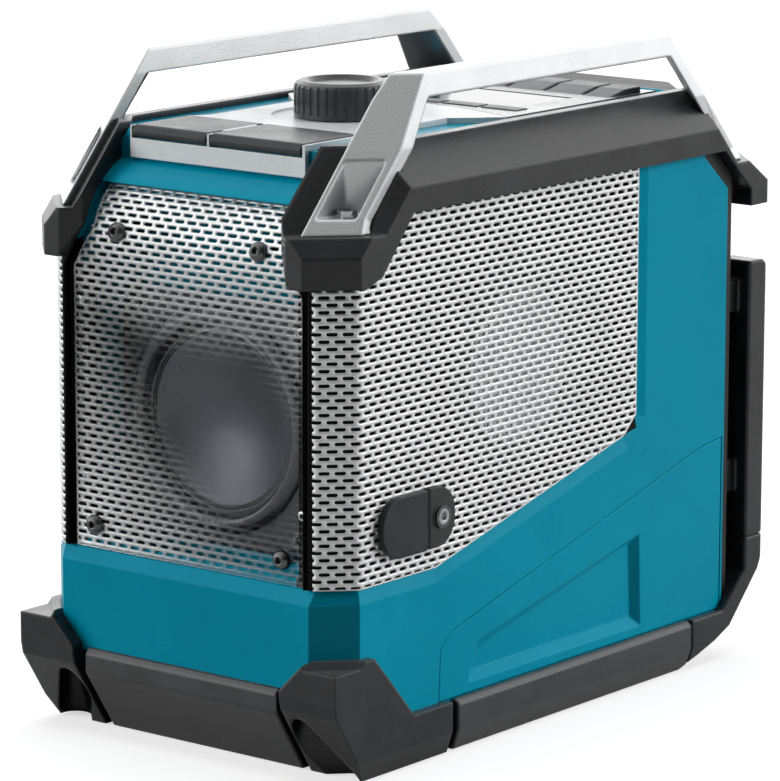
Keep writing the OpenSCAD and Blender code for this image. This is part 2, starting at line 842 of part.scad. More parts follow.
module leg(f, k, clear) {
    across_corner(-45 * f) polygon([
        [inv(k + leg_proud - leg_t, foot_z) - clear, foot_z - clear],
        [inv(k + leg_proud, foot_z) + clear, foot_z - clear],
        [inv(k + leg_proud, overall_h) + clear, overall_h],
        [inv(k + leg_proud - leg_t, overall_h) - clear, overall_h]]);
}

module handle_solid(clear) {
    intersection() {
        along_y(-half_d, half_d) polygon([[leg_in - clear, foot_z - clear], [leg_out + 1.6 + clear, foot_z - clear],
            [leg_out + clear, foot_z + 6], [leg_out + clear, foot_z + 30], [bar_out + 0.2, overall_h - bar_t],
            [bar_out - 1.4, overall_h], [bar_in, overall_h], [leg_in - clear, overall_h - bar_t]]);
        union() {
            leg(1, k_front, clear);
            leg(-1, k_rear, clear);
            intersection() {
                block(bar_in - 2, bar_out + 2, -far, far, overall_h - bar_t, overall_h);
                across_corner(-45) corner_limit(k_front + leg_proud, far);
                across_corner(45) corner_limit(k_rear + leg_proud, far);
            }
        }
    }
    foot_block(1, k_front, clear);
    foot_block(-1, k_rear, clear);
}

// Pocket in the foot that takes the screw
module screw_well(f, k) {
    intersection() {
        block(leg_in + 1.6, leg_out - 2.6, -far, far, well_z, well_top);
        across_corner(-45 * f) polygon([[inv(k + leg_proud, well_top), well_z],
            [far, well_z], [far, well_top], [inv(k + leg_proud, well_top), well_top]]);
    }
}

module handle() {
    difference() {
        handle_solid(0);
        screw_well(1, k_front);
        screw_well(-1, k_rear);
        rod(foot_screw_x(), foot_screw_y(), foot_z - 1, far, 2.1);
        rod(foot_screw_x(), rear_screw_y(), foot_z - 1, far, 2.1);
    }
}

module handle_right() {
    color("#c9cdcd") handle();
}

module handle_left() {
    color("#c9cdcd") mirror([1, 0, 0]) handle();
}

module cap_screw(head_r, head_h, r, length) {
    translate([0, 0, 0]) difference() {
        cylinder(h = head_h, r = head_r, $fn = 48);
        translate([0, 0, head_h - 1.2]) cylinder(h = 2, r = head_r * 0.45, $fn = 6);
    }
    translate([0, 0, -length]) cylinder(h = length + 0.1, r = r, $fn = 32);
}

module corner_screws() {
    color("#b8babb") both_sides() {
        translate([foot_screw_x(), foot_screw_y(), well_z]) cap_screw(4, 2.6, 1.75, 18);
        translate([foot_screw_x(), rear_screw_y(), well_z]) cap_screw(4, 2.6, 1.75, 18);
        rotate([0, 0, -45]) translate([corner_sum / sqrt(2) - 10.5, corner_t, corner_ceiling])
            mirror([0, 0, 1]) cap_screw(3.8, 2.4, 1.85, 9.6);
    }
}

// ---- grilles ----

module front_grille() {
    color("#c4cacc") intersection() {
        along_y(front_y - 1, front_y + 18) front_grille_drawing(0);
        difference() {
            housing_solid(front_sink);
            housing_solid(front_sink + grille_t);
        }
    }
}

module side_grille() {
    intersection() {
        block(side_grille_x - 2.4, far, -far, far, 0, far);
        along_x(0, far) side_grille_drawing(0);
        difference() {
            housing_solid(grille_cut - grille_t);
            housing_solid(grille_cut);
        }
    }
}

module side_grille_right() {
    color("#c4cacc") difference() {
        side_grille();
        along_x(0, far) translate([dc_y, dc_z]) rounded(45, 24, 11);
    }
}

module side_grille_left() {
    color("#c4cacc") mirror([1, 0, 0]) side_grille();
}

function grille_screw_spots() = [[-36.3, brow_z + 9.3], [36.3, brow_z + 9.3], [-48.5, grille_z + 9.8],
    [48.5, grille_z + 9.8]];

module grille_screws() {
    bolt = woofer_w / 2 - 8;
    color("#1d1f20") {
        intersection() {
            union() {
                for (p = grille_screw_spots()) translate([p[0], baffle_y, p[1]]) rotate([90, 0, 0])
                    cylinder(h = front_recess, r = 2.8, $fn = 32);
            }
            housing_solid(front_sink + grille_t);
        }
        for (sx = [-1, 1], sz = [-1, 1])
            translate([sx * bolt, baffle_y - 3, woofer_z + sz * bolt]) rotate([90, 0, 0]) cap_screw(3, 1.8, 1.4, 5.6);
        for (sx = [-1, 1], a = [45 : 90 : 315])
            translate([sx * (side_baffle + 2), side_spk_y + (side_spk_r - 2.5) * cos(a),
                side_spk_z + (side_spk_r - 2.5) * sin(a)]) rotate([0, 90 * sx, 0]) cap_screw(2, 1.4, 1.2, 4.6);
        translate([body_x + 2.6, dc_y + 14.2, dc_z]) rotate([0, 90, 0]) cap_screw(4.6, 1.2, 1.8, 10);
    }
}

// ---- speakers ----

module woofer_frame() {
    bolt = woofer_w / 2 - 8;
    color("#3b3c3e") translate([0, baffle_y, woofer_z]) rotate([90, 0, 0]) {
        difference() {
            union() {
                linear_extrude(3) rounded(woofer_w, woofer_w, 9);
                translate([0, 0, -26]) cylinder(h = 26, r1 = woofer_r - 14, r2 = woofer_r - 0.5, $fn = 96);
                translate([0, 0, -46]) cylinder(h = 20.1, r = woofer_r - 9, $fn = 96);
            }
            translate([0, 0, -24]) cylinder(h = 28, r1 = woofer_r - 18, r2 = woofer_r - 3, $fn = 96);
            for (sx = [-1, 1], sy = [-1, 1])
                translate([sx * bolt, sy * bolt, -1]) cylinder(h = 6, r = 1.6, $fn = 24);
            for (p = grille_screw_spots())
                translate([p[0], p[1] - woofer_z, -1]) cylinder(h = 6, r = 3.2, $fn = 32);
        }
    }
}

module woofer_surround() {
    color("#1e1f20") translate([0, baffle_y - 3, woofer_z]) rotate([90, 0, 0])
        rotate_extrude($fn = 96) difference() {
            translate([woofer_r - 6.4, 0]) intersection() {
                circle(r = 5.4, $fn = 48);
                translate([-6, 0]) square([12, 8]);
            }
            translate([woofer_r - 6.4, -0.1]) circle(r = 4.2, $fn = 48);
        }
}

module woofer_cone() {
    r = woofer_r - 11.8 - cone_gap;
    color("#55575b") translate([0, baffle_y - 3, woofer_z]) rotate([90, 0, 0]) rotate_extrude($fn = 96)
        polygon([[0, -16], [r - 20, -16], [r, -2], [r, 0], [r - 1.5, 0], [r - 20, -13],
            [r - 26, -14.2], [0, -14.6]]);
}

module side_speaker() {
    translate([side_baffle, side_spk_y, side_spk_z]) rotate([0, 90, 0]) difference() {
        union() {
            cylinder(h = 2, r = side_spk_r, $fn = 96);
            translate([0, 0, -18]) cylinder(h = 18, r1 = 24, r2 = side_spk_r - 5.4, $fn = 96);
            translate([0, 0, -34]) cylinder(h = 16.1, r = 27, $fn = 96);
        }
        translate([0, 0, -16]) cylinder(h = 19, r1 = 22, r2 = side_spk_r - 6.4, $fn = 96);
        for (a = [45 : 90 : 315]) rotate([0, 0, a]) translate([side_spk_r - 2.5, 0, -1])
            cylinder(h = 4, r = 1.3, $fn = 24);
    }
    translate([side_baffle, side_spk_y, side_spk_z]) rotate([0, 90, 0]) difference() {
        cylinder(h = 1.9, r = side_spk_r - 5, $fn = 96);
        translate([0, 0, -1]) cylinder(h = 4, r = side_spk_r - 12 + 0.1, $fn = 96);
    }
}

module side_cone() {
    r = side_spk_r - 12 - cone_gap;
    translate([side_baffle, side_spk_y, side_spk_z]) rotate([0, 90, 0]) rotate_extrude($fn = 96)
        polygon([[0, -11], [r - 22, -11], [r, -1], [r, 1], [r - 1.4, 1], [r - 21.6, -8.8], [r - 24, -5.4],
            [0, -3.6]]);
}

module side_speaker_right() {
    color("#3b3c3e") side_speaker();
}

module side_speaker_left() {
    color("#3b3c3e") mirror([1, 0, 0]) side_speaker();
}

module side_cone_right() {
    color("#d9dcdc") side_cone();
}

module side_cone_left() {
    color("#d9dcdc") mirror([1, 0, 0]) side_cone();
}

// ---- control deck ----

module flap_pocket(x0, x1) {
    block(x0 - 0.4, x1 + 0.4, lip_y - 3, flap_back + 0.4, deck_z + 0.3, far);
    block(x0 - 0.4, x1 + 0.4, lip_y - 3, lip_y + 0.5, deck_z + 2.2 - flap_skirt, far);
    along_x(x0 - 0.4, x1 + 0.4)
        polygon([[flap_back + 0.3, deck_z + 1.5], [flap_back + 1.1, deck_z + 2.6], [flap_back + 0.3, deck_z + 2.6]]);
}

module top_panel() {
    t = 2.4;
    color("#d3d7d8") difference() {
        union() {
            intersection() {
                linear_extrude(far) panel_drawing();
                block(-far, far, lip_y - 0.02, arc_y + 1, deck_z + 0.02, deck_z + t);
            }
            block(-panel_x, panel_x, lip_y - 2.2, lip_y - 0.02, brow_top_z + 1, deck_z + t);
            block(-panel_x + 8.4, panel_x - 8.4, lip_y + 5.4, flap_back - 1, deck_z - 2.6, deck_z + 0.2);
        }
        block(-31, -17.6, lip_y + 10, lip_y + 17, 0, far);
        translate([20, lip_y + 13.5, 0]) cylinder(h = far, r = 4, $fn = 48);
        flap_pocket(usb_x0, usb_x1);
        flap_pocket(aux_x0, aux_x1);
        translate([0, knob_y, deck_z + t - 0.8]) cylinder(h = 4, r = knob_d / 2 + 9, $fn = 96);
        translate([0, knob_y, 0]) cylinder(h = far, r = 4.6, $fn = 48);
        panel_rear_cut();
    }
}

// Everything behind the arc between panel and bezel
module panel_rear_cut() {
    difference() {
        block(-far, far, arc_y - 30, far, 0, far);
        translate([0, arc_y - arc_r, 0]) cylinder(h = far, r = arc_r, $fn = 256);
    }
}

module bezel_outline() {
    difference() {
        translate([-bezel_x, arc_y - 30]) square([2 * bezel_x, step_y - arc_y + 29.6]);
        translate([0, arc_y - arc_r]) circle(r = arc_r + 0.3, $fn = 256);
    }
}

module control_bezel() {
    t = 2.4;
    color("#2d2f31") difference() {
        translate([0, 0, deck_z + 0.02]) linear_extrude(t) bezel_outline();
        block(-window_x - 0.3, window_x + 0.3, window_y0() - 0.3, window_y1() + 0.3, 0, far);
        for (i = [1 : 5]) block(front_key_x(i) - 9.4, front_key_x(i) + 9.4, front_key_y - 4, front_key_y + 4.6, 0, far);
        for (i = [1 : 6]) block(rear_edge(i - 1) + 0.6, rear_edge(i) - 0.6, key_row_y - 12, key_row_y + 12, 0, far);
    }
}

function window_y0() = front_key_y + 6.4;
function window_y1() = key_row_y - 21.6;
function front_key_x(i) = (i - 3) * key_pitch;
function rear_edge(i) = i == 0 ? 1.8 - bezel_x : i == 6 ? bezel_x - 1.8 : (i - 3) * key_pitch;
function key_base() = deck_z + key_travel + 0.3;
function rear_key_x(i) = (rear_edge(i - 1) + rear_edge(i)) / 2;

module rear_key(i) {
    x0 = rear_edge(i - 1) + 0.6 + key_gap;
    x1 = rear_edge(i) - 0.6 - key_gap;
    y0 = key_row_y - 12 + key_gap;
    y1 = key_row_y + 12 - key_gap;
    color("#323437") {
        along_x(x0, x1) polygon([[y0, key_base()], [y0, deck_z + 2.2], [y0 + 12, deck_z + 4.6],
            [y1, deck_z + 4.8], [y1, key_base()]]);
        rod(rear_key_x(i), key_row_y, deck_z - 5.1 + key_travel, key_base() + 0.1, 1.6);
    }
}

module front_key(i) {
    w = 9.4 - key_gap;
    x = front_key_x(i);
    color("#2f3133") {
        block(x - w, x + w, front_key_y - 4 + key_gap, front_key_y + 4.6 - key_gap, key_base(), deck_z + 2.8);
        rod(x, front_key_y, deck_z - 5.1 + key_travel, key_base() + 0.1, 1.6);
    }
}

module rear_key_1() { rear_key(1); }
module rear_key_2() { rear_key(2); }
module rear_key_3() { rear_key(3); }
module rear_key_4() { rear_key(4); }
module rear_key_5() { rear_key(5); }
module rear_key_6() { rear_key(6); }
module front_key_1() { front_key(1); }
module front_key_2() { front_key(2); }
module front_key_3() { front_key(3); }
module front_key_4() { front_key(4); }
module front_key_5() { front_key(5); }

module display_window() {
    color("#20282c") block(-window_x, window_x, window_y0(), window_y1(), deck_z, deck_z + 2.2);
}

module display_module() {
    color("#30343a") block(-window_x + 3, window_x - 3, window_y0() + 2, window_y1() - 2, deck_z - 6.2, deck_z);
}

// Board under the deck that carries the keys, the display and the encoder
module panel_board() {
    color("#1f5a3c") difference() {
        union() {
            block(-50, 50, key_row_y - 84, key_row_y + 10, deck_z - 7.8, deck_z - 6.2);
            block(-36, 36, knob_y - 12, key_row_y - 83, deck_z - 7.8, deck_z - 6.2);
            for (i = [1 : 5])
                block(front_key_x(i) - 3, front_key_x(i) + 3, front_key_y - 3, front_key_y + 3,
                    deck_z - 6.3, deck_z - 5.2);
            for (i = [1 : 6])
                block(rear_key_x(i) - 3, rear_key_x(i) + 3, key_row_y - 3, key_row_y + 3,
                    deck_z - 6.3, deck_z - 5.2);
            for (sx = [-1, 1]) rod(sx * 34, knob_y + 2, deck_z - 7, deck_z + 0.02, 1.8);
        }
        translate([0, knob_y, 0]) cylinder(h = far, r = 4, $fn = 32);
    }
}

module volume_knob() {
    r = knob_d / 2;
    z0 = deck_z + 2;
    color("#1e1f21") difference() {
        translate([0, knob_y, z0]) rotate_extrude($fn = 128)
            polygon([[0, 0], [r, 0], [r, knob_h - 2.2], [r - 0.8, knob_h - 1], [r - 2.8, knob_h],
                [r - 4.8, knob_h], [r - 6.2, knob_h - 1.6], [0, knob_h - 1.6]]);
        for (i = [0 : knob_ribs - 1]) translate([0, knob_y, z0 + 1.6]) rotate([0, 0, i * 360 / knob_ribs])
            translate([r + 0.3, 0, 0]) cylinder(h = knob_h, r = 0.95, $fn = 16);
        translate([0, knob_y, z0 - 1]) cylinder(h = knob_h - 4, r = 3, $fn = 32);
    }
}

module encoder_shaft() {
    color("silver") translate([0, knob_y, deck_z - 6]) cylinder(h = knob_h + 2.4, r = 3, $fn = 32);
}

module knob_encoder() {
    color("#8a8d8f") difference() {
        union() {
            block(-7, 7, knob_y - 7, knob_y + 7, deck_z - 14.4, deck_z - 7.8);
            translate([0, knob_y, deck_z - 8]) cylinder(h = 8, r = 3.9, $fn = 32);
        }
        translate([0, knob_y, deck_z - 6.3]) cylinder(h = 10, r = 3.3, $fn = 32);
    }
}

// Soft cover over a socket: flat top and a front skirt
module flap(x0, x1) {
    z1 = deck_z + 2.8;
    along_x(x0, x1) polygon([[lip_y - 2.6, z1 - flap_skirt], [lip_y - 2.6, z1 - 2], [lip_y - 0.8, z1],
        [flap_back - flap_t / 2, z1], [flap_back - flap_t / 2, z1 - flap_t], [lip_y - 0.1, z1 - flap_t],
        [lip_y - 0.1, z1 - flap_skirt]]);
    translate([x0, flap_back - 1.1, z1 - flap_t / 2]) rotate([0, 90, 0])
        cylinder(h = x1 - x0, r = flap_t / 2, $fn = 32);
}

module usb_flap() {
    color("#242628") flap(usb_x0, usb_x1);
}

module aux_flap() {
    color("#242628") flap(aux_x0, aux_x1);
}

module port_sockets() {
    zt = deck_z - 2.6;
    color("#9a9da0") {
        difference() {
            block(-33, -15.6, lip_y + 9, lip_y + 18, zt - 12, zt);
            block(-30.2, -18.4, lip_y + 10.8, lip_y + 16.2, zt - 10, far);
        }
        difference() {
            block(14, 26, lip_y + 8, lip_y + 19, zt - 12, zt);
            translate([20, lip_y + 13.5, zt - 10]) cylinder(h = 20, r = 1.9, $fn = 32);
        }
        block(-35, 30, lip_y + 8, lip_y + 19, zt - 13.6, zt - 12);
    }
}

// ---- DC inlet ----

module dc_base() {
    color("#1c1d1f") difference() {
        union() {
            along_x(body_x - grille_cut, body_x + 1.2) translate([dc_y, dc_z]) rounded(44.4, 23.4, 10.8);
            along_x(side_baffle, body_x) translate([dc_y, dc_z]) rounded(38, 18, 8);
            intersection() {
                along_x(body_x, body_x + 2.6) translate([dc_y, dc_z]) rounded(46, 24.4, 11);
                block(0, far, dc_y + 5.8, far, 0, far);
            }
        }
        along_x(body_x - 5, far) translate([dc_y - 5.2, dc_z]) rounded(16, 15, 6);
        along_x(0, far) translate([dc_y - 5.2, dc_z]) circle(r = 5.2, $fn = 48);
        translate([side_baffle - 1, dc_y + 14.2, dc_z]) rotate([0, 90, 0]) cylinder(h = 20, r = 2, $fn = 24);
        linear_extrude(far)
            polygon([[body_x + 1.5, dc_y + 5.7], [body_x + 2.7, dc_y + 7.4], [body_x + 2.7, dc_y + 5.7]]);
    }
}

module dc_flap() {
    color("#303235") {
        intersection() {
            along_x(body_x + 1.4, body_x + 3.2) translate([dc_y, dc_z]) rounded(46, 24.4, 11);
            block(0, far, -far, dc_y + 4.6, 0, far);
        }
        along_x(body_x - 2.4, body_x + 1.5) translate([dc_y - 5.2, dc_z]) rounded(14, 13, 5);
        translate([body_x + 2.3, dc_y + 4.6, dc_z - 9]) cylinder(h = 18, r = 0.9, $fn = 32);
    }
}

module dc_jack() {
    color("#151617") translate([side_baffle - 8, dc_y - 5.2, dc_z]) rotate([0, 90, 0]) difference() {
        cylinder(h = 10.6, r = 5, $fn = 48);
        translate([0, 0, 2]) cylinder(h = 12, r = 3.2, $fn = 48);
    }
}

module main_board() {
    color("#1f5a3c") {
        block(-50, 50, -60, 60, board_z, board_z + 1.6);
        for (y = [-30, -6]) rod(-30, y, board_z + 1.5, board_z + 24, 7);
        block(10, 40, -40, 30, board_z + 1.5, board_z + 18);
    }
}

main_housing();
side_cover_right();
side_cover_left();
rear_housing();
base_tray();
front_rail();
side_rail_right();
side_rail_left();
base_corner_front_right();
base_corner_front_left();
base_corner_rear_right();
base_corner_rear_left();
rear_guard_right();
rear_guard_left();
top_bumper_right();
top_bumper_left();
handle_right();
handle_left();
corner_screws();
front_grille();
side_grille_right();
side_grille_left();
grille_screws();
woofer_frame();
woofer_surround();
woofer_cone();
side_speaker_right();
side_cone_right();
side_speaker_left();
side_cone_left();
top_panel();
control_bezel();
display_window();
display_module();
panel_board();
rear_key_1();
rear_key_2();
rear_key_3();
rear_key_4();
rear_key_5();
rear_key_6();
front_key_1();
front_key_2();
front_key_3();
front_key_4();
front_key_5();
volume_knob();
encoder_shaft();
knob_encoder();
usb_flap();
aux_flap();
port_sockets();
dc_base();
dc_flap();
dc_jack();
battery_door();
door_hinge_pin();
door_latch();
battery_terminals();
main_board();
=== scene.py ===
import json
import math
import bpy
import bmesh
import numpy as np
from mathutils import Matrix, Vector


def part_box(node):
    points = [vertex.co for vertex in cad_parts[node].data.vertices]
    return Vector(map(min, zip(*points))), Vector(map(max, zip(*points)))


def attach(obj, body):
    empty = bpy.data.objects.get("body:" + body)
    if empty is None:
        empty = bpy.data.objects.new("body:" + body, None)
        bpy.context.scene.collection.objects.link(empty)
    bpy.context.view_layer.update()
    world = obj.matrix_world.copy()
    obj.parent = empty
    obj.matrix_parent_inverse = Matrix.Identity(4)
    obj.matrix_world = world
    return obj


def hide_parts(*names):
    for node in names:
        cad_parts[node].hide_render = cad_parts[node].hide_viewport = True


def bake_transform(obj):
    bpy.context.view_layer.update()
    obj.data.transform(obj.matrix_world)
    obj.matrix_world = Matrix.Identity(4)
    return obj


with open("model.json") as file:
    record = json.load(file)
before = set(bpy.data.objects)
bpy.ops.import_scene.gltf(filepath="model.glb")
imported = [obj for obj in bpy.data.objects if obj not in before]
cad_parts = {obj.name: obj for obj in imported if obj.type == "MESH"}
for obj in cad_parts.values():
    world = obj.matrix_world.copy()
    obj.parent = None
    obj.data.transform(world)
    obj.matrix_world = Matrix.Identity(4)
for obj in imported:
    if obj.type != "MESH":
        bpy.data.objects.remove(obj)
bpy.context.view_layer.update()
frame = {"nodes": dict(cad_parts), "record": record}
nodes = frame["nodes"]
bodyOf = {n: body for body, members in frame["record"]["behaviour"]["bodies"].items() for n in members}
print("radio: frame loaded with", len(nodes), "nodes")


# small helpers

def linearColour(code):
    # sRGB hex turned to the linear values that shaders use
    part = np.array([int(code[i:i + 2], 16) for i in (1, 3, 5)]) / 255.0
    linear = np.where(part <= 0.04045, part / 12.92, ((part + 0.055) / 1.055) ** 2.4)
    return (*[float(v) for v in linear], 1.0)


def addNode(tree, kind, inputs=None, **settings):
    # one node with its settings; an input is either linked or set
    node = tree.nodes.new(kind)
    for key, value in settings.items():
        setattr(node, key, value)
    for key, value in (inputs or {}).items():
        if isinstance(value, bpy.types.NodeSocket):
            tree.links.new(value, node.inputs[key])
        else:
            node.inputs[key].default_value = value
    return node


def newPiece(name, mesh, body, material):
    piece = bpy.data.objects.new(name, mesh)
    bpy.context.scene.collection.objects.link(piece)
    mesh.materials.clear()
    mesh.materials.append(material)
    if body:
        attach(piece, body)
    return piece


def meshFrom(name, points, faces):
    mesh = bpy.data.meshes.new(name)
    mesh.from_pydata(np.asarray(points).reshape(-1, 3).tolist(), [], np.asarray(faces).tolist())
    mesh.update()
    return mesh


def weld(mesh, near=1e-6, closeRim=False, sharpest=40):
    # doubles merged, an open rim closed where asked, normals outwards, smooth but for edges past the limit
    source = bmesh.new()
    source.from_mesh(mesh)
    bmesh.ops.remove_doubles(source, verts=source.verts, dist=near)
    bmesh.ops.dissolve_degenerate(source, dist=near, edges=source.edges)
    if closeRim:
        bmesh.ops.contextual_create(source, geom=[e for e in source.edges if e.is_boundary])
    bmesh.ops.recalc_face_normals(source, faces=source.faces)
    source.to_mesh(mesh)
    source.free()
    mesh.shade_smooth()
    mesh.set_sharp_from_angle(angle=math.radians(sharpest))


# camera, at the photograph's viewpoint

cameraSet = {
    "place": (1.11954, -1.41491, 0.48952),
    "right": (0.78209, 0.62316, 0.00156),
    "up": (-0.12724, 0.15724, 0.97933),
    "back": (0.61003, -0.76613, 0.20226),
    "lensMm": 204.88,
    "sensorMm": 36,
    "shift": (-0.0037, 0.0231),
    "clip": (0.05, 60),
}


def makeCamera(look):
    data = bpy.data.cameras.new("photoCamera")
    data.lens = look["lensMm"]
    data.sensor_width = look["sensorMm"]
    data.shift_x, data.shift_y = look["shift"]
    data.clip_start, data.clip_end = look["clip"]
    camera = bpy.data.objects.new("photoCamera", data)
    turn = Matrix((look["right"], look["up"], look["back"])).transposed()
    camera.matrix_world = Matrix.Translation(look["place"]) @ turn.normalized().to_4x4()
    bpy.context.scene.collection.objects.link(camera)
    bpy.context.scene.camera = camera


makeCamera(cameraSet)


# light: a wide lamp on each side of the camera, one overhead, and a soft room round them

lightSet = {
    # azimuth and elevation in degrees, strength, spread in degrees
    "rightBank": (132, 16, 3.8, 40),
    "leftBank": (-50, 16, 3.3, 40),
    "overhead": (218, 78, 1.8, 60),
    # what the room gives matt surfaces, and what mirrors see at the sides and behind the camera
    "roomFill": 0.06,
    "screens": 2.1,
    "behindCamera": 0.12,
    # the camera's side of the room, and the cosines from it between which the screens fade out
    "cameraSide": (0.78, -0.62, 0.10),
    "cameraSideEnds": (0.0, 0.9),
    # heights between which the room dims towards its roof, and what is left there
    "roofHeights": (0.25, 0.8),
    "roofShare": 0.62,
}


def makeLights(look):
    for name in ("rightBank", "leftBank", "overhead"):
        azimuth, elevation, strength, spread = look[name]
        a, e = math.radians(azimuth), math.radians(elevation)
        lamp = bpy.data.lights.new(name, "SUN")
        lamp.energy = strength
        lamp.angle = math.radians(spread)
        holder = bpy.data.objects.new(name, lamp)
        toLamp = Vector((math.sin(a) * math.cos(e), -math.cos(a) * math.cos(e), math.sin(e)))
        holder.rotation_euler = toLamp.to_track_quat("Z", "Y").to_euler()
        holder.location = toLamp * 2
        holder.visible_glossy = False
        bpy.context.scene.collection.objects.link(holder)

    # the room is white to the eye and dim for diffuse light; mirrors see it bright to both sides, where the
    # lamps' large screens stand, darker overhead and dark behind the camera
    world = bpy.data.worlds.new("studio")
    bpy.context.scene.world = world
    world.use_nodes = True
    tree = world.node_tree
    tree.nodes.clear()
    way = addNode(tree, "ShaderNodeTexCoord").outputs["Generated"]
    facing = addNode(tree, "ShaderNodeVectorMath", {0: way, 1: look["cameraSide"]}, operation="DOT_PRODUCT")
    sides = look["cameraSideEnds"]
    dim = addNode(tree, "ShaderNodeMapRange", {
        "Value": facing.outputs["Value"], "From Min": sides[0], "From Max": sides[1],
        "To Min": look["screens"], "To Max": look["behindCamera"]}, interpolation_type="SMOOTHSTEP")
    height = addNode(tree, "ShaderNodeSeparateXYZ", {0: way})
    heights = look["roofHeights"]
    roof = addNode(tree, "ShaderNodeMapRange", {
        "Value": height.outputs["Z"], "From Min": heights[0], "From Max": heights[1],
        "To Min": 1.0, "To Max": look["roofShare"]}, interpolation_type="SMOOTHSTEP")
    mirror = addNode(tree, "ShaderNodeMath", {0: dim.outputs["Result"], 1: roof.outputs["Result"]},
                     operation="MULTIPLY")
    path = addNode(tree, "ShaderNodeLightPath")
    glossy = addNode(tree, "ShaderNodeMix", {0: path.outputs["Is Glossy Ray"], 2: look["roomFill"],
                                             3: mirror.outputs[0]}, data_type="FLOAT")
    seen = addNode(tree, "ShaderNodeMath", {0: path.outputs["Is Camera Ray"],
                                            1: path.outputs["Is Transmission Ray"]}, operation="MAXIMUM")
    strength = addNode(tree, "ShaderNodeMix", {0: seen.outputs[0], 2: glossy.outputs[0], 3: 1.0},
                       data_type="FLOAT")
    shade = addNode(tree, "ShaderNodeBackground", {"Color": (1, 1, 1, 1), "Strength": strength.outputs[0]})
    addNode(tree, "ShaderNodeOutputWorld", {"Surface": shade.outputs[0]})


makeLights(lightSet)
bpy.context.scene.view_settings.view_transform = "Standard"

floorSet = {"halfWidth": 14.0, "below": 0.0004, "paint": "#C4C4C4", "bounce": "#5E5E5E", "lift": 0.60}


def makeFloor(look):
    # matt floor, lifted to white for the camera where no shadow falls, pale in mirrors, and throwing little
    # light back
    w = look["halfWidth"]
    mesh = meshFrom("floor", [(-w, -w, 0), (w, -w, 0), (w, w, 0), (-w, w, 0)], [(0, 1, 2, 3)])
    mesh.transform(Matrix.Translation((0, 0, -look["below"])))
    paper = bpy.data.materials.new("floorPaper")
    paper.use_nodes = True
    tree = paper.node_tree
    tree.nodes.clear()
    path = addNode(tree, "ShaderNodeLightPath")
    bare = addNode(tree, "ShaderNodeMath", {0: path.outputs["Is Camera Ray"],
                                            1: path.outputs["Is Glossy Ray"]}, operation="MAXIMUM")
    paint = addNode(tree, "ShaderNodeMix", {0: bare.outputs[0], 6: linearColour(look["bounce"]),
                                            7: linearColour(look["paint"])}, data_type="RGBA")
    matt = addNode(tree, "ShaderNodeBsdfDiffuse", {"Color": paint.outputs[2]})
    lift = addNode(tree, "ShaderNodeMath", {0: path.outputs["Is Camera Ray"], 1: look["lift"]},
                   operation="MULTIPLY")
    glow = addNode(tree, "ShaderNodeEmission", {"Color": (1, 1, 1, 1), "Strength": lift.outputs[0]})
    both = addNode(tree, "ShaderNodeAddShader", {0: matt.outputs[0], 1: glow.outputs[0]})
    addNode(tree, "ShaderNodeOutputMaterial", {"Surface": both.outputs[0]})
    mesh.materials.append(paper)
    floor = bpy.data.objects.new("floor", mesh)
    bpy.context.scene.collection.objects.link(floor)


makeFloor(floorSet)
print("radio: camera, lamps and floor made")


# finishes; colours as sRGB, grain and drift in millimetres

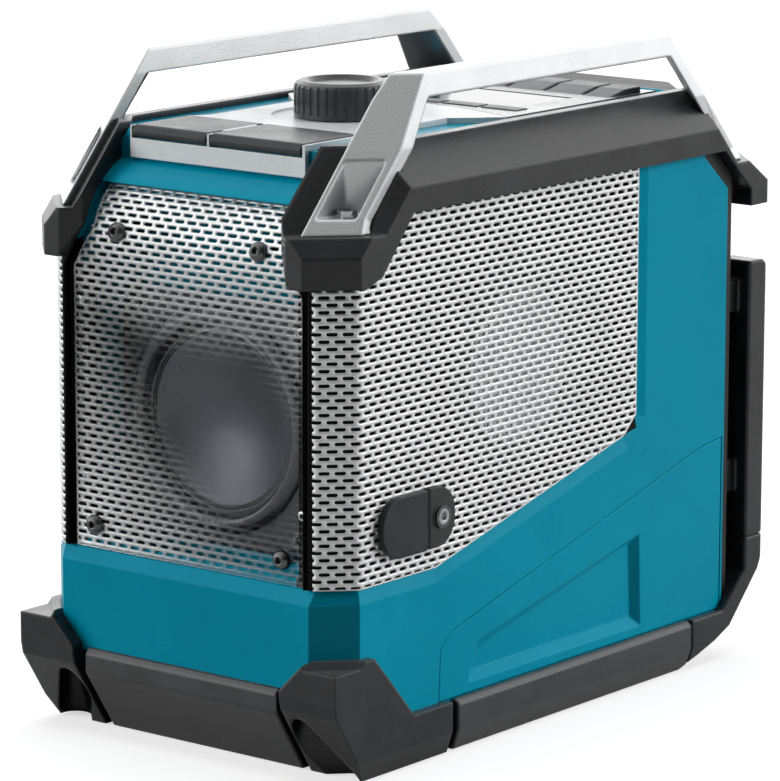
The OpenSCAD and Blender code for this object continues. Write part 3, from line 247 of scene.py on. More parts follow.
finishes = {
    # ABS, moulded with a fine spark grain: deep satin teal, colour right to the edges, small tight highlights
    "tealAbs": {"colour": "#00869F", "tone": "#007F98", "rough": (0.24, 0.32), "specular": 0.08, "ior": 1.5,
                "grainMm": 0.9, "grain": 0.05, "driftMm": 60, "edgeMm": 0.8},
    # glass filled nylon, moulded black for rear shell, tray and door: matt, slightly dusty
    "blackNylon": {"colour": "#1A1B1C", "tone": "#212223", "rough": (0.46, 0.58), "specular": 0.45,
                   "ior": 1.5, "grainMm": 0.8, "grain": 0.10, "driftMm": 30, "edgeMm": 0.8},
    # thermoplastic rubber, overmoulded and smooth: black with a satin shine, a little lighter in patches
    "bumperRubber": {"colour": "#18191B", "tone": "#1F2022", "rough": (0.24, 0.34), "specular": 0.42,
                     "ior": 1.5, "grainMm": 0.9, "grain": 0.12, "driftMm": 22, "sheen": 0.05, "edgeMm": 1.5},
    # the base rails in the same rubber, one shade lighter
    "railRubber": {"colour": "#1E1F21", "tone": "#262729", "rough": (0.24, 0.34), "specular": 0.7, "ior": 1.5,
                   "grainMm": 0.9, "grain": 0.12, "driftMm": 22, "sheen": 0.10, "edgeMm": 1.2},
    # aluminium, die cast and bead blasted under clear lacquer: bright satin with a fine sandy sparkle
    "castAluminium": {"colour": "#CFD2D2", "tone": "#CBCECE", "rough": (0.38, 0.43), "metallic": 1.0,
                      "grainMm": 0.7, "grain": 0.16, "driftMm": 35, "edgeMm": 1.2},
    # steel screws, zinc plated
    "zincSteel": {"colour": "#B9BBBC", "tone": "#A7A9AB", "rough": (0.22, 0.34), "metallic": 1.0,
                  "grainMm": 0.5, "grain": 0.05, "driftMm": 3},
    # steel screws, black oxide: nearly black with an oily shine
    "blackOxide": {"colour": "#17181A", "tone": "#1F2022", "rough": (0.16, 0.26), "specular": 0.8, "ior": 1.6,
                   "grainMm": 0.5, "grain": 0.04, "driftMm": 3, "coat": 0.3},
    # steel sheet, punched then powder coated silver: bright even satin
    "silverSheet": {"colour": "#E3E5E5", "tone": "#D8DADA", "rough": (0.34, 0.44), "metallic": 0.55,
                    "specular": 0.5, "ior": 1.5, "grainMm": 0.6, "grain": 0.05, "driftMm": 25},
    # pressed steel basket, black coated: satin
    "coatedSteel": {"colour": "#2C2D31", "tone": "#26272B", "rough": (0.30, 0.42), "specular": 0.5,
                    "ior": 1.5, "grainMm": 0.7, "grain": 0.08, "driftMm": 20},
    # butyl rubber roll: smooth black with long soft highlights
    "surroundRubber": {"colour": "#26272C", "tone": "#2C2D32", "rough": (0.22, 0.32), "specular": 0.8,
                       "ior": 1.52, "grainMm": 0.8, "grain": 0.02, "driftMm": 18},
    # polypropylene cone filled with aluminium flake: dark grey with a soft metallic glow
    "coneGrey": {"colour": "#5C5E64", "tone": "#54565C", "rough": (0.26, 0.34), "metallic": 0.6,
                 "specular": 0.6, "ior": 1.49, "grainMm": 0.7, "grain": 0.03, "driftMm": 26},
    # coated paper cone, nearly white: soft satin
    "coneBright": {"colour": "#F0F4F5", "tone": "#E2E8EA", "rough": (0.28, 0.40), "specular": 0.6, "ior": 1.5,
                   "grainMm": 0.9, "grain": 0.06, "driftMm": 16},
    # ABS, sprayed silver: pale grey with a faint metallic drift
    "silverPaint": {"colour": "#CDD1D2", "tone": "#C3C7C9", "rough": (0.30, 0.40), "metallic": 0.25,
                    "specular": 0.5, "ior": 1.5, "grainMm": 0.5, "grain": 0.04, "driftMm": 12, "edgeMm": 0.4},
    # ABS bezel with a fine etched grain: dark grey with a soft shine
    "bezelAbs": {"colour": "#3C3F42", "tone": "#44474A", "rough": (0.17, 0.25), "specular": 1.0, "ior": 1.5,
                 "grainMm": 0.7, "grain": 0.10, "driftMm": 24, "edgeMm": 0.5},
    # acrylic window, smoked and polished: near black mirror
    "smokedAcrylic": {"colour": "#111417", "tone": "#0D1013", "rough": (0.06, 0.10), "specular": 0.25,
                      "ior": 1.49, "grainMm": 4.0, "grain": 0.0, "driftMm": 40},
    # key tops, ABS with the bezel's grain
    "keyAbs": {"colour": "#323436", "tone": "#393B3D", "rough": (0.36, 0.48), "specular": 0.5, "ior": 1.5,
               "grainMm": 0.7, "grain": 0.10, "driftMm": 12},
    # knob, ABS polished between its ribs: black, crisp highlights
    "knobAbs": {"colour": "#222325", "tone": "#2A2B2D", "rough": (0.20, 0.32), "specular": 0.8, "ior": 1.5,
                "grainMm": 0.7, "grain": 0.05, "driftMm": 12, "edgeMm": 0.5},
    # soft elastomer port flaps: satin charcoal
    "flapRubber": {"colour": "#1F2123", "tone": "#27292B", "rough": (0.26, 0.36), "specular": 0.3, "ior": 1.5,
                   "grainMm": 0.8, "grain": 0.12, "driftMm": 14, "edgeMm": 0.9},
    # glass epoxy board, etched and varnished: green with lighter tracks
    "boardLaminate": {"colour": "#1E5A3E", "tone": "#2C6E4C", "rough": (0.28, 0.40), "specular": 0.5,
                      "ior": 1.5, "grainMm": 1.2, "grain": 0.05, "driftMm": 5},
    # spring brass, rolled
    "springBrass": {"colour": "#C8A24C", "tone": "#B8923F", "rough": (0.25, 0.38), "metallic": 1.0,
                    "grainMm": 0.8, "grain": 0.04, "driftMm": 8},
}


# what all finishes share: how much of the noise's range is used, and the grain's and edges' shading
surfaceSet = {"patchEnds": (0.35, 0.65), "roughEnds": (0.3, 0.7), "patchDetail": 4.0, "patchRough": 0.6,
              "grainDetail": 2.0, "grainStrength": 0.6, "leastGrain": 0.001, "edgeSamples": 6,
              "coatRough": 0.15, "sheenRough": 0.5}


def buildFinish(name, look, shared):
    # colour and roughness drift together between two values, and the grain is a small bump
    material = bpy.data.materials.new(name)
    material.use_nodes = True
    tree = material.node_tree
    tree.nodes.clear()
    place = addNode(tree, "ShaderNodeTexCoord").outputs["Object"]
    drift = addNode(tree, "ShaderNodeTexNoise", {
        "Vector": place, "Scale": 1000 / look["driftMm"],
        "Detail": shared["patchDetail"], "Roughness": shared["patchRough"]})
    patches = addNode(tree, "ShaderNodeMapRange", {
        "Value": drift.outputs[0], "From Min": shared["patchEnds"][0], "From Max": shared["patchEnds"][1]})
    shade = addNode(tree, "ShaderNodeMix", {0: patches.outputs[0], 6: linearColour(look["colour"]),
                                            7: linearColour(look["tone"])}, data_type="RGBA")
    grain = addNode(tree, "ShaderNodeTexNoise", {"Vector": place, "Scale": 1000 / look["grainMm"],
                                                 "Detail": shared["grainDetail"]})
    rough = addNode(tree, "ShaderNodeMapRange", {
        "Value": drift.outputs[0], "From Min": shared["roughEnds"][0], "From Max": shared["roughEnds"][1],
        "To Min": look["rough"][0], "To Max": look["rough"][1]})
    bump = addNode(tree, "ShaderNodeBump", {
        "Height": grain.outputs[0], "Strength": shared["grainStrength"],
        "Distance": max(look["grain"], shared["leastGrain"]) / 1000})
    if "edgeMm" in look:
        # moulded and cast edges catch the light over their small radius
        soft = addNode(tree, "ShaderNodeBevel", {"Radius": look["edgeMm"] / 1000},
                       samples=shared["edgeSamples"])
        tree.links.new(soft.outputs[0], bump.inputs["Normal"])
    skin = addNode(tree, "ShaderNodeBsdfPrincipled", {
        "Base Color": shade.outputs[2], "Roughness": rough.outputs[0], "Normal": bump.outputs[0],
        "Metallic": look.get("metallic", 0.0), "Specular IOR Level": look.get("specular", 0.5),
        "Coat Weight": look.get("coat", 0.0), "Coat Roughness": shared["coatRough"],
        "Sheen Weight": look.get("sheen", 0.0), "Sheen Roughness": shared["sheenRough"]})
    if "ior" in look:
        skin.inputs["IOR"].default_value = look["ior"]
    addNode(tree, "ShaderNodeOutputMaterial", {"Surface": skin.outputs[0]})
    return material


materials = {name: buildFinish(name, look, surfaceSet) for name, look in finishes.items()}

rearKeys = ["rear_key_%d" % i for i in range(1, 7)]
frontKeys = ["front_key_%d" % i for i in range(1, 6)]
# which finish each CAD node carries, with the record's slot
nodeFinish = {
    ("tealAbsRecessShade", "teal_plastic"): ["main_housing"],
    ("tealAbs", "side_plastic"): ["side_cover_right", "side_cover_left"],
    ("blackNylon", "rear_plastic"): ["rear_housing"],
    ("blackNylon", "tray_plastic"): ["base_tray"],
    ("blackNylon", "door_plastic"): ["battery_door", "door_latch"],
    ("blackNylon", "dc_plastic"): ["dc_base", "dc_jack", "knob_encoder"],
    ("bumperRubber", "bumper_rubber"): [part + side for side in ("right", "left") for part in (
        "top_bumper_", "rear_guard_", "base_corner_front_", "base_corner_rear_")],
    ("railRubber", "rail_rubber"): ["front_rail", "side_rail_right", "side_rail_left"],
    ("castAluminium", "cast_aluminium"): ["handle_right", "handle_left"],
    ("zincSteel", "zinc_screw"): ["corner_screws"],
    ("blackOxide", "black_screw"): ["grille_screws"],
    ("silverSheet", "grille_sheet"): ["front_grille", "side_grille_right", "side_grille_left"],
    ("coatedSteel", "speaker_steel"): ["woofer_frame", "side_speaker_right", "side_speaker_left"],
    ("surroundRubber", "surround_rubber"): ["woofer_surround"],
    ("coneGrey", "cone_grey"): ["woofer_cone"],
    ("coneBright", "cone_bright"): ["side_cone_right", "side_cone_left"],
    ("silverPaint", "silver_plastic"): ["top_panel"],
    ("bezelAbs", "bezel_plastic"): ["control_bezel"],
    ("smokedAcrylic", "window_glass"): ["display_window"],
    ("bezelAbs", "display_plastic"): ["display_module"],
    ("boardLaminate", "board_laminate"): ["panel_board", "main_board"],
    ("keyAbs", "key_plastic"): rearKeys + frontKeys,
    ("knobAbs", "knob_plastic"): ["volume_knob"],
    ("zincSteel", "shaft_steel"): ["encoder_shaft", "door_hinge_pin"],
    ("flapRubber", "flap_rubber"): ["usb_flap", "aux_flap", "dc_flap"],
    ("zincSteel", "socket_metal"): ["port_sockets"],
    ("springBrass", "contact_brass"): ["battery_terminals"],
}
# painted shade: within the grille recesses, where shade falls behind the sheets and in the grooves
# beside them, the housing is painted near black; places in metres
recessShadeSet = {"colour": "#0A0B0C", "frontX": 0.0545, "frontY": -0.126, "sideX": 0.066, "rearY": 0.0552,
             "lowZ": 0.0758, "topZ": 0.2242, "slantY": -0.0796, "slant": 0.254}


def recessShadePaint(base, look):
    # painted shade in place of the teal: black within the grille's outline, where x is past the front edge
    # and y ahead of frontY, or x is past the side baffle
    material = base.copy()
    material.name = base.name + "RecessShade"
    tree = material.node_tree
    skin = next(n for n in tree.nodes if n.type == "BSDF_PRINCIPLED")
    place = addNode(tree, "ShaderNodeTexCoord").outputs["Object"]
    spot = addNode(tree, "ShaderNodeSeparateXYZ", {0: place}).outputs

    def maths(kind, a, b=0.0, c=0.0):
        return addNode(tree, "ShaderNodeMath", {0: a, 1: b, 2: c}, operation=kind).outputs[0]

    x = maths("ABSOLUTE", spot["X"])
    alongSlant = maths("MAXIMUM", maths("SUBTRACT", spot["Y"], look["slantY"]), 0.0)
    slantedZ = maths("MULTIPLY_ADD", alongSlant, look["slant"], look["lowZ"])
    ahead = maths("MULTIPLY", maths("GREATER_THAN", x, look["frontX"]),
                  maths("LESS_THAN", spot["Y"], look["frontY"]))
    inside = maths("MAXIMUM", ahead, maths("GREATER_THAN", x, look["sideX"]))
    for test in (maths("GREATER_THAN", spot["Z"], slantedZ), maths("LESS_THAN", spot["Z"], look["topZ"]),
                 maths("LESS_THAN", spot["Y"], look["rearY"])):
        inside = maths("MULTIPLY", inside, test)
    shade = skin.inputs["Base Color"].links[0].from_socket
    # painted shade: the teal gives way to the near black colour wherever the mask holds
    painted = addNode(tree, "ShaderNodeMix", {0: inside, 6: shade, 7: linearColour(look["colour"])},
                      data_type="RGBA")
    tree.links.new(painted.outputs[2], skin.inputs["Base Color"])
    return material


materials["tealAbsRecessShade"] = recessShadePaint(materials["tealAbs"], recessShadeSet)
finishOf = {n: (materials[finish], slot) for (finish, slot), members in nodeFinish.items() for n in members}
for n, piece in nodes.items():
    piece.data.materials.clear()
    piece.data.materials.append(finishOf[n][0])
print("radio:", len(materials), "finishes made")


# moulded and cast parts: each node's own surface with its edges rounded

edgeRadii = {
    # millimetres, as the tools leave them; the other parts have their edges softened by their finish
    "side_cover_right": 0.5, "side_cover_left": 0.5, "rear_guard_right": 0.9, "rear_guard_left": 0.9,
    "base_corner_rear_right": 0.9, "base_corner_rear_left": 0.9, "front_rail": 0.8, "side_rail_right": 0.8,
    "side_rail_left": 0.8, "handle_right": 0.8, "handle_left": 0.8, "woofer_frame": 0.5,
    "display_window": 0.3, "usb_flap": 0.7, "aux_flap": 0.7, "dc_base": 0.5, "dc_flap": 0.5,
    "volume_knob": 0.25, "door_latch": 0.2, **dict.fromkeys(rearKeys, 0.5), **dict.fromkeys(frontKeys, 0.25),
}
# the ribs have very short edges, so their round is held back to what they allow
heldBack = ("volume_knob",)


def roundEdges(node, radiusMm, steps=3, sharpest=24, near=3e-6, flatWithin=0.7):
    # triangles merged, flat faces joined, then every edge sharper than the limit gets a round of the radius
    source = bmesh.new()
    source.from_mesh(nodes[node].data)
    bmesh.ops.remove_doubles(source, verts=source.verts, dist=near)
    bmesh.ops.dissolve_degenerate(source, dist=near, edges=source.edges)
    bmesh.ops.dissolve_limit(source, angle_limit=math.radians(flatWithin), verts=source.verts,
                             edges=source.edges, use_dissolve_boundaries=False, delimit=set())
    bmesh.ops.recalc_face_normals(source, faces=source.faces)
    mesh = bpy.data.meshes.new(node + ".rounded")
    source.to_mesh(mesh)
    source.free()
    mesh.shade_smooth()
    mesh.set_sharp_from_angle(angle=math.radians(sharpest))
    material, slot = finishOf[node]
    piece = newPiece(node + ".rounded", mesh, bodyOf[node], material)
    bevel = piece.modifiers.new("edges", "BEVEL")
    bevel.width = radiusMm / 1000
    bevel.segments = steps
    bevel.limit_method = "ANGLE"
    bevel.angle_limit = math.radians(sharpest)
    bevel.use_clamp_overlap = node in heldBack
    bevel.miter_outer = "MITER_ARC"
    even = piece.modifiers.new("shading", "WEIGHTED_NORMAL")
    even.keep_sharp = True
    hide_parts(node)


for n, radius in edgeRadii.items():
    roundEdges(n, radius)
print("radio:", len(edgeRadii), "parts given rounded edges")


# punched grilles

slotSet = {"lengthMm": 4.6, "widthMm": 1.45, "pitchMm": 6.2, "rowMm": 2.84, "marginMm": 0.4, "sheetMm": 1.2,
           "leastArea": 1e-4}


def slottedSheet(uRange, vRange, limits, look):
    # rows of cells on (u, v), every second row moved half a pitch; a cell is a ring of twelve faces from its
    # border to a round-ended slot, and both are drawn back to the sheet's outline where they cross it
    p, h = look["pitchMm"], look["rowMm"]
    r = look["widthMm"] / 2
    a = look["lengthMm"] / 2 - r
    c = r * math.sqrt(0.5)
    cell = np.array([(-2, 2), (-1, 2), (0, 2), (1, 2), (2, 2), (2, 0),
                     (2, -2), (1, -2), (0, -2), (-1, -2), (-2, -2), (-2, 0)]) * (p / 4, h / 4)
    hole = np.array([(-a - c, c), (-a, r), (0, r), (a, r), (a + c, c), (a + r, 0),
                     (a + c, -c), (a, -r), (0, -r), (-a, -r), (-a - c, -c), (-a - r, 0)])
    rows = np.arange(math.floor(vRange[0] / h), math.ceil(vRange[1] / h) + 1)
    columns = np.arange(math.floor(uRange[0] / p) - 1, math.ceil(uRange[1] / p) + 2)
    u0 = columns[None, :] * p + (rows[:, None] % 2) * p / 2
    v0 = np.broadcast_to(rows[:, None] * h, u0.shape)
    centre = np.stack([u0, v0], -1)[..., None, :]
    outer, inner = centre + cell, centre + hole
    m = look["marginMm"]

    def within(points, low, high, cellLow, cellHigh, margin):
        return np.clip(points, np.minimum(low + margin, np.maximum(cellHigh, low)),
                       np.maximum(high - margin, np.minimum(cellLow, high)))

    def trimmed(points, margin):
        u, v = points[..., 0], points[..., 1]
        uLow, uHigh = limits["u"](v)
        u = within(u, uLow, uHigh, centre[..., 0] - p / 2, centre[..., 0] + p / 2, margin)
        vLow, vHigh = limits["v"](u)
        v = within(v, vLow, vHigh, centre[..., 1] - h / 2, centre[..., 1] + h / 2, margin)
        return np.stack([u, v], -1)

    flat = np.concatenate([trimmed(outer, 0.0), trimmed(inner, m)], axis=2).reshape(-1, 2)
    k = np.arange(12)
    ring = np.stack([k + 12, (k + 1) % 12 + 12, (k + 1) % 12, k], -1)
    faces = (ring[None] + 24 * np.arange(len(flat) // 24)[:, None, None]).reshape(-1, 4)
    corner = flat[faces]
    d1, d2 = corner[:, 2] - corner[:, 0], corner[:, 3] - corner[:, 1]
    area = np.abs(d1[:, 0] * d2[:, 1] - d1[:, 1] * d2[:, 0]) / 2
    return flat, faces[area > look["leastArea"]]


def grillePiece(name, node, flat, faces, place, outward, material, near=2e-6, sharpest=35):
    # the flat pattern laid along the sheet's bends, welded, and given the sheet's thickness inwards
    points = place(flat[:, 0], flat[:, 1]) / 1000
    source = bmesh.new()
    mesh = meshFrom(name, points, faces)
    source.from_mesh(mesh)
    bmesh.ops.remove_doubles(source, verts=source.verts, dist=near)
    loose = [v for v in source.verts if not v.link_faces]
    bmesh.ops.delete(source, geom=loose, context="VERTS")
    bmesh.ops.recalc_face_normals(source, faces=source.faces)
    total = sum((f.normal * f.calc_area() for f in source.faces), Vector())
    if total.dot(Vector(outward)) < 0:
        bmesh.ops.reverse_faces(source, faces=source.faces)
    source.to_mesh(mesh)
    source.free()
    mesh.shade_smooth()
    mesh.set_sharp_from_angle(angle=math.radians(sharpest))
    piece = newPiece(name, mesh, bodyOf[node], material)
    wall = piece.modifiers.new("sheet", "SOLIDIFY")
    wall.thickness = slotSet["sheetMm"] / 1000
    wall.offset = -1
    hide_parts(node)


sideGrilleSet = {
    "rearY": 54.9, "faceX": 77.8, "foldY": -126.92, "bendMm": 3.0,
    "edgeMm": 2.8, "edgeX": 61.8, "returnMm": 2.2,
    # lower and upper outline as (y, z)
    "low": [(-300, 76), (-79.6, 76), (46.4, 108), (54.9, 116)],
    "high": [(-142, 199), (-111, 211.6), (-95, 224), (54.9, 224)]}


def sideGrilleLine():
    # seen from above: along the side, round a 45 degree bend, down the corner facet, round its edge and into
    # the recess
    fold = sideGrilleSet
    bend, edge = fold["bendMm"], fold["edgeMm"]
    cut = bend * math.tan(math.radians(22.5))
    turn = np.radians(np.linspace(0, 45, 9))
    outer = np.stack([fold["faceX"] - bend + bend * np.cos(turn),
                      fold["foldY"] + cut - bend * np.sin(turn)], -1)
    heartX = fold["edgeX"] + edge
    heartY = heartX - (fold["faceX"] - fold["foldY"]) + edge * math.sqrt(2)
    back = np.radians(np.linspace(-45, -180, 15))
    inner = np.stack([heartX + edge * np.cos(back), heartY + edge * np.sin(back)], -1)
    line = np.concatenate([[[fold["faceX"], fold["rearY"]]], outer, inner,
                           [inner[-1] + (0, fold["returnMm"])]])
    return line, np.concatenate([[0], np.cumsum(np.hypot(*np.diff(line, axis=0).T))])


def sideGrilleLimits():
    line, along = sideGrilleLine()

    def across(v):
        return np.zeros_like(v), np.full_like(v, along[-1])

    def upright(u):
        y = np.interp(u, along, line[:, 1])
        return tuple(np.interp(y, *np.transpose(sideGrilleSet[edge])) for edge in ("low", "high"))

    return {"u": across, "v": upright}, along[-1]


def sideGrillePlace(side):
    line, along = sideGrilleLine()

    def place(u, v):
        return np.stack([side * np.interp(u, along, line[:, 0]), np.interp(u, along, line[:, 1]), v], -1)

    return place


frontGrilleSet = {"halfWidth": 58.7, "topHalfWidth": 49.4, "lowZ": 76.0, "faceY": -138.0, "browY": -103.0,
                  "browZ": 195.4, "topZ": 222.4, "taperFromZ": 189.4, "taperToZ": 205.4}


def frontGrilleShape():
    # straight up the front, then round the brow: v is the length along that line
    s = frontGrilleSet
    radius = s["browY"] - s["faceY"]
    rise = s["browZ"] - s["lowZ"]
    vEnd = rise + radius * math.asin((s["topZ"] - s["browZ"]) / radius)
    taper = [s["taperFromZ"] - s["lowZ"], rise + radius * math.asin((s["taperToZ"] - s["browZ"]) / radius)]

    def across(v):
        half = np.interp(v, taper, [s["halfWidth"], s["topHalfWidth"]])
        return -half, half

    def upright(u):
        return np.zeros_like(u), np.full_like(u, vEnd)

    def place(u, v):
        t = np.maximum(v - rise, 0) / radius
        y = s["browY"] - radius * np.cos(t)
        z = np.where(v < rise, s["lowZ"] + v, s["browZ"] + radius * np.sin(t))
        return np.stack([u, y, z], -1)

    return {"u": across, "v": upright}, vEnd, place


# the front sheet fades in its middle, as the photograph shows it, so that the woofer can be seen
ghostSet = {"centre": (0.018, -0.138, 0.138), "radii": (0.105, 1.0, 0.058), "tilt": 45, "clear": 0.35,
            "full": 1.6, "browFrom": 0.155, "browTo": 0.207}


def ghostFinish(base, look):
    material = base.copy()
    material.name = base.name + "Faded"
    tree = material.node_tree
    skin = next(n for n in tree.nodes if n.type == "BSDF_PRINCIPLED")
    place = addNode(tree, "ShaderNodeTexCoord").outputs["Object"]
    fit = addNode(tree, "ShaderNodeMapping", {
        "Vector": place, "Location": look["centre"], "Scale": look["radii"],
        "Rotation": (0, math.radians(look["tilt"]), 0)}, vector_type="TEXTURE")
    away = addNode(tree, "ShaderNodeVectorMath", {0: fit.outputs[0]}, operation="LENGTH")
    fade = addNode(tree, "ShaderNodeMapRange", {"Value": away.outputs["Value"], "From Min": look["clear"],
                                                "From Max": look["full"]}, interpolation_type="SMOOTHSTEP")
    height = addNode(tree, "ShaderNodeSeparateXYZ", {0: place})
    brow = addNode(tree, "ShaderNodeMapRange", {"Value": height.outputs["Z"], "From Min": look["browFrom"],
                                                "From Max": look["browTo"]}, interpolation_type="SMOOTHSTEP")
    solid = addNode(tree, "ShaderNodeMath", {0: fade.outputs[0], 1: brow.outputs[0]}, operation="MAXIMUM")
    # a line of sight passes both faces of the sheet, so each takes the root of what the two let through
    through = addNode(tree, "ShaderNodeMath", {0: 1.0, 1: solid.outputs[0]}, operation="SUBTRACT")
    root = addNode(tree, "ShaderNodeMath", {0: through.outputs[0]}, operation="SQRT")
    each = addNode(tree, "ShaderNodeMath", {0: 1.0, 1: root.outputs[0]}, operation="SUBTRACT")
    tree.links.new(each.outputs[0], skin.inputs["Alpha"])
    return material


sheetFinish = materials["silverSheet"]
fadedSheet = ghostFinish(sheetFinish, ghostSet)
sideLimits, sideEnd = sideGrilleLimits()
sideRise = (sideGrilleSet["low"][0][1], sideGrilleSet["high"][-1][1])
sideFlat, sideFaces = slottedSheet((0, sideEnd), sideRise, sideLimits, slotSet)
for name, side in (("right", 1), ("left", -1)):
    grillePiece("side_grille_%s.punched" % name, "side_grille_" + name, sideFlat, sideFaces,
                sideGrillePlace(side), (side, -0.2, 0), sheetFinish)
frontLimits, frontEnd, frontPlace = frontGrilleShape()
frontHalf = frontGrilleSet["halfWidth"]
frontFlat, frontFaces = slottedSheet((-frontHalf, frontHalf), (0, frontEnd), frontLimits, slotSet)
grillePiece("front_grille.punched", "front_grille", frontFlat, frontFaces, frontPlace, (0, -1, 0.1),
            fadedSheet)
print("radio: grilles punched")


# speakers

def turnedPiece(name, profile, centre, axis, body, material, steps=128):
    # point = centre + radius * (cos a * side + sin a * up) + height * axis, profile as (radius, height) in mm
    axis = Vector(axis).normalized()
    across = axis.orthogonal().normalized()
    other = axis.cross(across)
    turn = np.linspace(0, 2 * math.pi, steps, endpoint=False)
    r, h = np.asarray(profile, float).T / 1000
    ringDir = np.cos(turn)[:, None] * np.array(across) + np.sin(turn)[:, None] * np.array(other)
    points = np.array(centre) + r[:, None, None] * ringDir + h[:, None, None] * np.array(axis)
    n = len(r)
    i, j = np.meshgrid(np.arange(n), np.arange(steps), indexing="ij")
    nextRow, nextStep = (i + 1) % n, (j + 1) % steps
    faces = np.stack([i * steps + j, i * steps + nextStep, nextRow * steps + nextStep,
                      nextRow * steps + j], -1)
    mesh = meshFrom(name, points, faces.reshape(-1, 4))
    weld(mesh)
    return newPiece(name, mesh, body, material)


wooferSet = {
    # (radius, height) in millimetres, height from the frame's face towards the front
    "roll": [(46.0, 0.0), (45.8, 0.8), (44.8, 1.7), (43.4, 2.6), (42.0, 3.1), (40.6, 3.1), (39.4, 2.4),
             (38.5, 1.0), (37.8, -0.8), (37.2, -2.2), (36.6, -2.7), (35.8, -2.5), (35.0, -2.3), (34.8, -2.9)],
    "rollMm": 0.9, "coneR": 34.6, "coneRim": -2.8, "coneDepth": 9.6, "conePower": 1.9, "coneMm": 1.4,
    # points along the bowl and the roll, and how often the roll's line is evened out
    "coneSteps": 48, "rollSteps": 61, "rollPasses": 3}


def makeWoofer(look):
    low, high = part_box("woofer_frame")
    centre = (0, low[1], (low[2] + high[2]) / 2)
    # bowl: depth falls with a power of the radius from rim to middle
    q = np.linspace(0, 1, look["coneSteps"])
    depth = look["coneRim"] - look["coneDepth"] * (1 - q ** look["conePower"])
    front = np.stack([look["coneR"] * q, depth], -1)
    rear = front[::-1] - np.array([0, look["coneMm"]])
    cone = turnedPiece("woofer_cone.bowl", np.concatenate([front, rear]), centre, (0, -1, 0),
                       bodyOf["woofer_cone"], materials["coneGrey"])
    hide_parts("woofer_cone")
    # roll: a smooth line through the listed points, turned round the axis
    t = np.linspace(0, 1, len(look["roll"]))
    fine = np.linspace(0, 1, look["rollSteps"])
    sweep = np.stack([np.interp(fine, t, part) for part in np.array(look["roll"]).T], -1)
    for _ in range(look["rollPasses"]):
        sweep[1:-1] = (sweep[:-2] + 2 * sweep[1:-1] + sweep[2:]) / 4
    under = sweep[::-1] - np.array([0, look["rollMm"]])
    roll = turnedPiece("woofer_surround.roll", np.concatenate([sweep, under]), centre, (0, -1, 0), None,
                       materials["surroundRubber"])
    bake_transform(roll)
    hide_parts("woofer_surround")


makeWoofer(wooferSet)
print("radio: speakers made")


# fasteners in front of and behind the front sheet

screwSet = {
    # (radius, height) of a pan head with a socket, in millimetres
    "head": [(0, 1.2), (1.3, 1.2), (1.4, 2.6), (1.8, 2.8), (2.8, 2.5), (3.5, 1.8), (3.9, 0.9), (3.95, 0.0),
             (3.9, -0.5), (0, -0.5)],
    "lowSpots": [(-48.5, 85.8), (48.5, 85.8)], "browSpots": [(-36.3, 204.7), (36.3, 204.7)]}


def makeScrews(look):
    s = frontGrilleSet
    radius = s["browY"] - s["faceY"]
    for i, (x, z) in enumerate(look["lowSpots"] + look["browSpots"]):
        lean = math.asin(max(z - s["browZ"], 0) / radius)
        way = (0, -math.cos(lean), math.sin(lean))
        place = (x / 1000, (s["browY"] - radius * math.cos(lean)) / 1000, z / 1000)
        turnedPiece("sheet_screw_%d" % (i + 1), look["head"], place, way, bodyOf["grille_screws"],
                    materials["blackOxide"], steps=48)


makeScrews(screwSet)

inletScrewSet = {
    # (radius, height) of a washer-faced head with a socket, in millimetres
    "head": [(0, 0.6), (1.5, 0.6), (1.6, 1.6), (2.0, 1.8), (3.1, 1.7), (3.4, 1.3), (3.5, 0.7), (4.5, 0.6),
             (4.7, 0.3), (4.7, -0.2), (0, -0.2)],
    "centre": (80.2, -79.4, 97.2)}
turnedPiece("inlet_screw_cap", inletScrewSet["head"], [v / 1000 for v in inletScrewSet["centre"]],
            (1, 0, 0), bodyOf["dc_base"], materials["zincSteel"], steps=48)

dividerSet = {"lowMm": (-5.1, -110.0, 241.6), "highMm": (-3.5, -90.0, 245.0), "roundMm": 0.5}


def makeDivider(look):
    # silver rib that stands between the two port flaps
    (x0, y0, z0), (x1, y1, z1) = look["lowMm"], look["highMm"]
    points = np.array([(x, y, z) for x in (x0, x1) for y in (y0, y1) for z in (z0, z1)]) / 1000
    faces = [(0, 1, 3, 2), (4, 6, 7, 5), (0, 4, 5, 1), (2, 3, 7, 6), (0, 2, 6, 4), (1, 5, 7, 3)]
    rib = newPiece("flap_divider", meshFrom("flap_divider", points, faces), bodyOf["top_panel"],
                   materials["silverPaint"])
    edges = rib.modifiers.new("edges", "BEVEL")
    edges.width = look["roundMm"] / 1000
    edges.segments = 3


makeDivider(dividerSet)

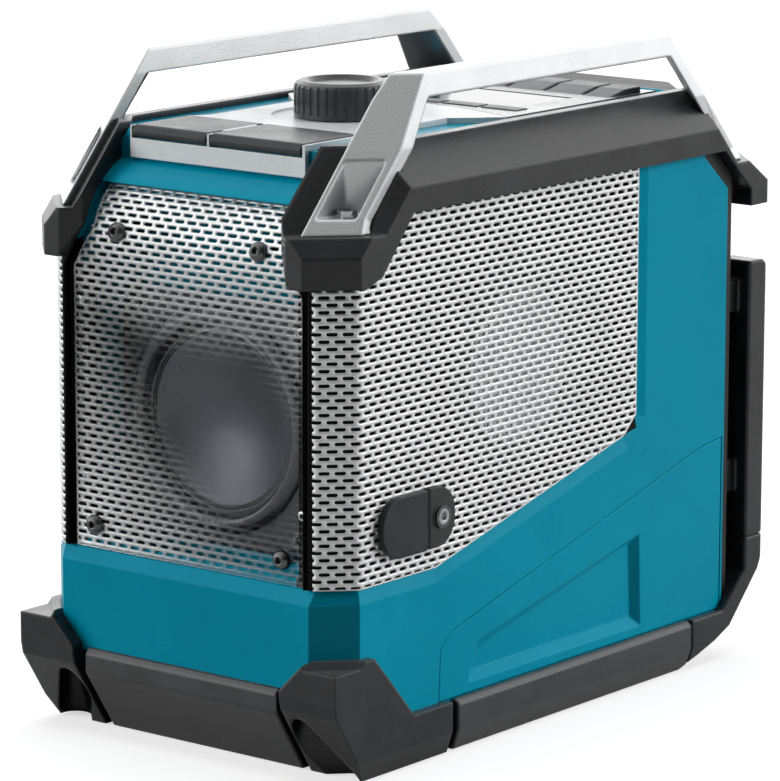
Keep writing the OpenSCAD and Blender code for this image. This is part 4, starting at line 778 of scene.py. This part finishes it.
clipSet = {
    "across": (-57.2, 57.2), "heights": (175.5, 104.0), "y": -134.0,
    "width": 8.6, "height": 10.4, "thick": 1.8, "power": 5, "around": 64, "outwards": 8,
    # the flat middle's share of the steps outwards and of the width
    "flat": 0.55, "flatWidth": 0.93,
    "screw": [(0, 0.5), (0.9, 0.5), (1.0, 1.1), (1.9, 1.0), (2.4, 0.5), (2.5, 0.0), (0, 0.0)]}


def makeClips(look):
    # rounded plate: a superellipse from the middle out, flat and then rolled over at its rim; a turned screw
    # on each
    turns, rings, flat = look["around"], look["outwards"], look["flat"]
    a, q = np.meshgrid(np.linspace(0, 2 * math.pi, turns, endpoint=False), np.linspace(0, 1, rings),
                       indexing="ij")
    reach = (np.abs(np.cos(a)) ** look["power"] + np.abs(np.sin(a)) ** look["power"]) ** (-1 / look["power"])
    rim = np.clip((q - flat) / (1 - flat), 0, 1)
    spread = np.minimum(q / flat, 1) * look["flatWidth"] + (1 - look["flatWidth"]) * np.sin(rim * math.pi / 2)
    x = look["width"] / 2 * spread * reach * np.cos(a)
    z = look["height"] / 2 * spread * reach * np.sin(a)
    y = look["thick"] * (1 - rim ** 2)
    i, j = np.meshgrid(np.arange(turns), np.arange(rings - 1), indexing="ij")
    here, ahead = i * rings + j, (i + 1) % turns * rings + j
    faces = np.stack([here, here + 1, ahead + 1, ahead], -1).reshape(-1, 4)
    places = [(cx, cz) for cx in look["across"] for cz in look["heights"]]
    for n, (cx, cz) in enumerate(places, start=1):
        points = np.stack([cx + x, look["y"] - y, cz + z], -1) / 1000
        mesh = meshFrom("sheet_clip_%d" % n, points, faces)
        weld(mesh, closeRim=True)
        newPiece("sheet_clip_%d" % n, mesh, bodyOf["main_housing"], materials["blackNylon"])
        seat = (cx / 1000, (look["y"] - look["thick"]) / 1000, cz / 1000)
        turnedPiece("clip_screw_%d" % n, look["screw"], seat, (0, -1, 0), bodyOf["main_housing"],
                    materials["zincSteel"], steps=40)


makeClips(clipSet)
print("radio: fasteners made")
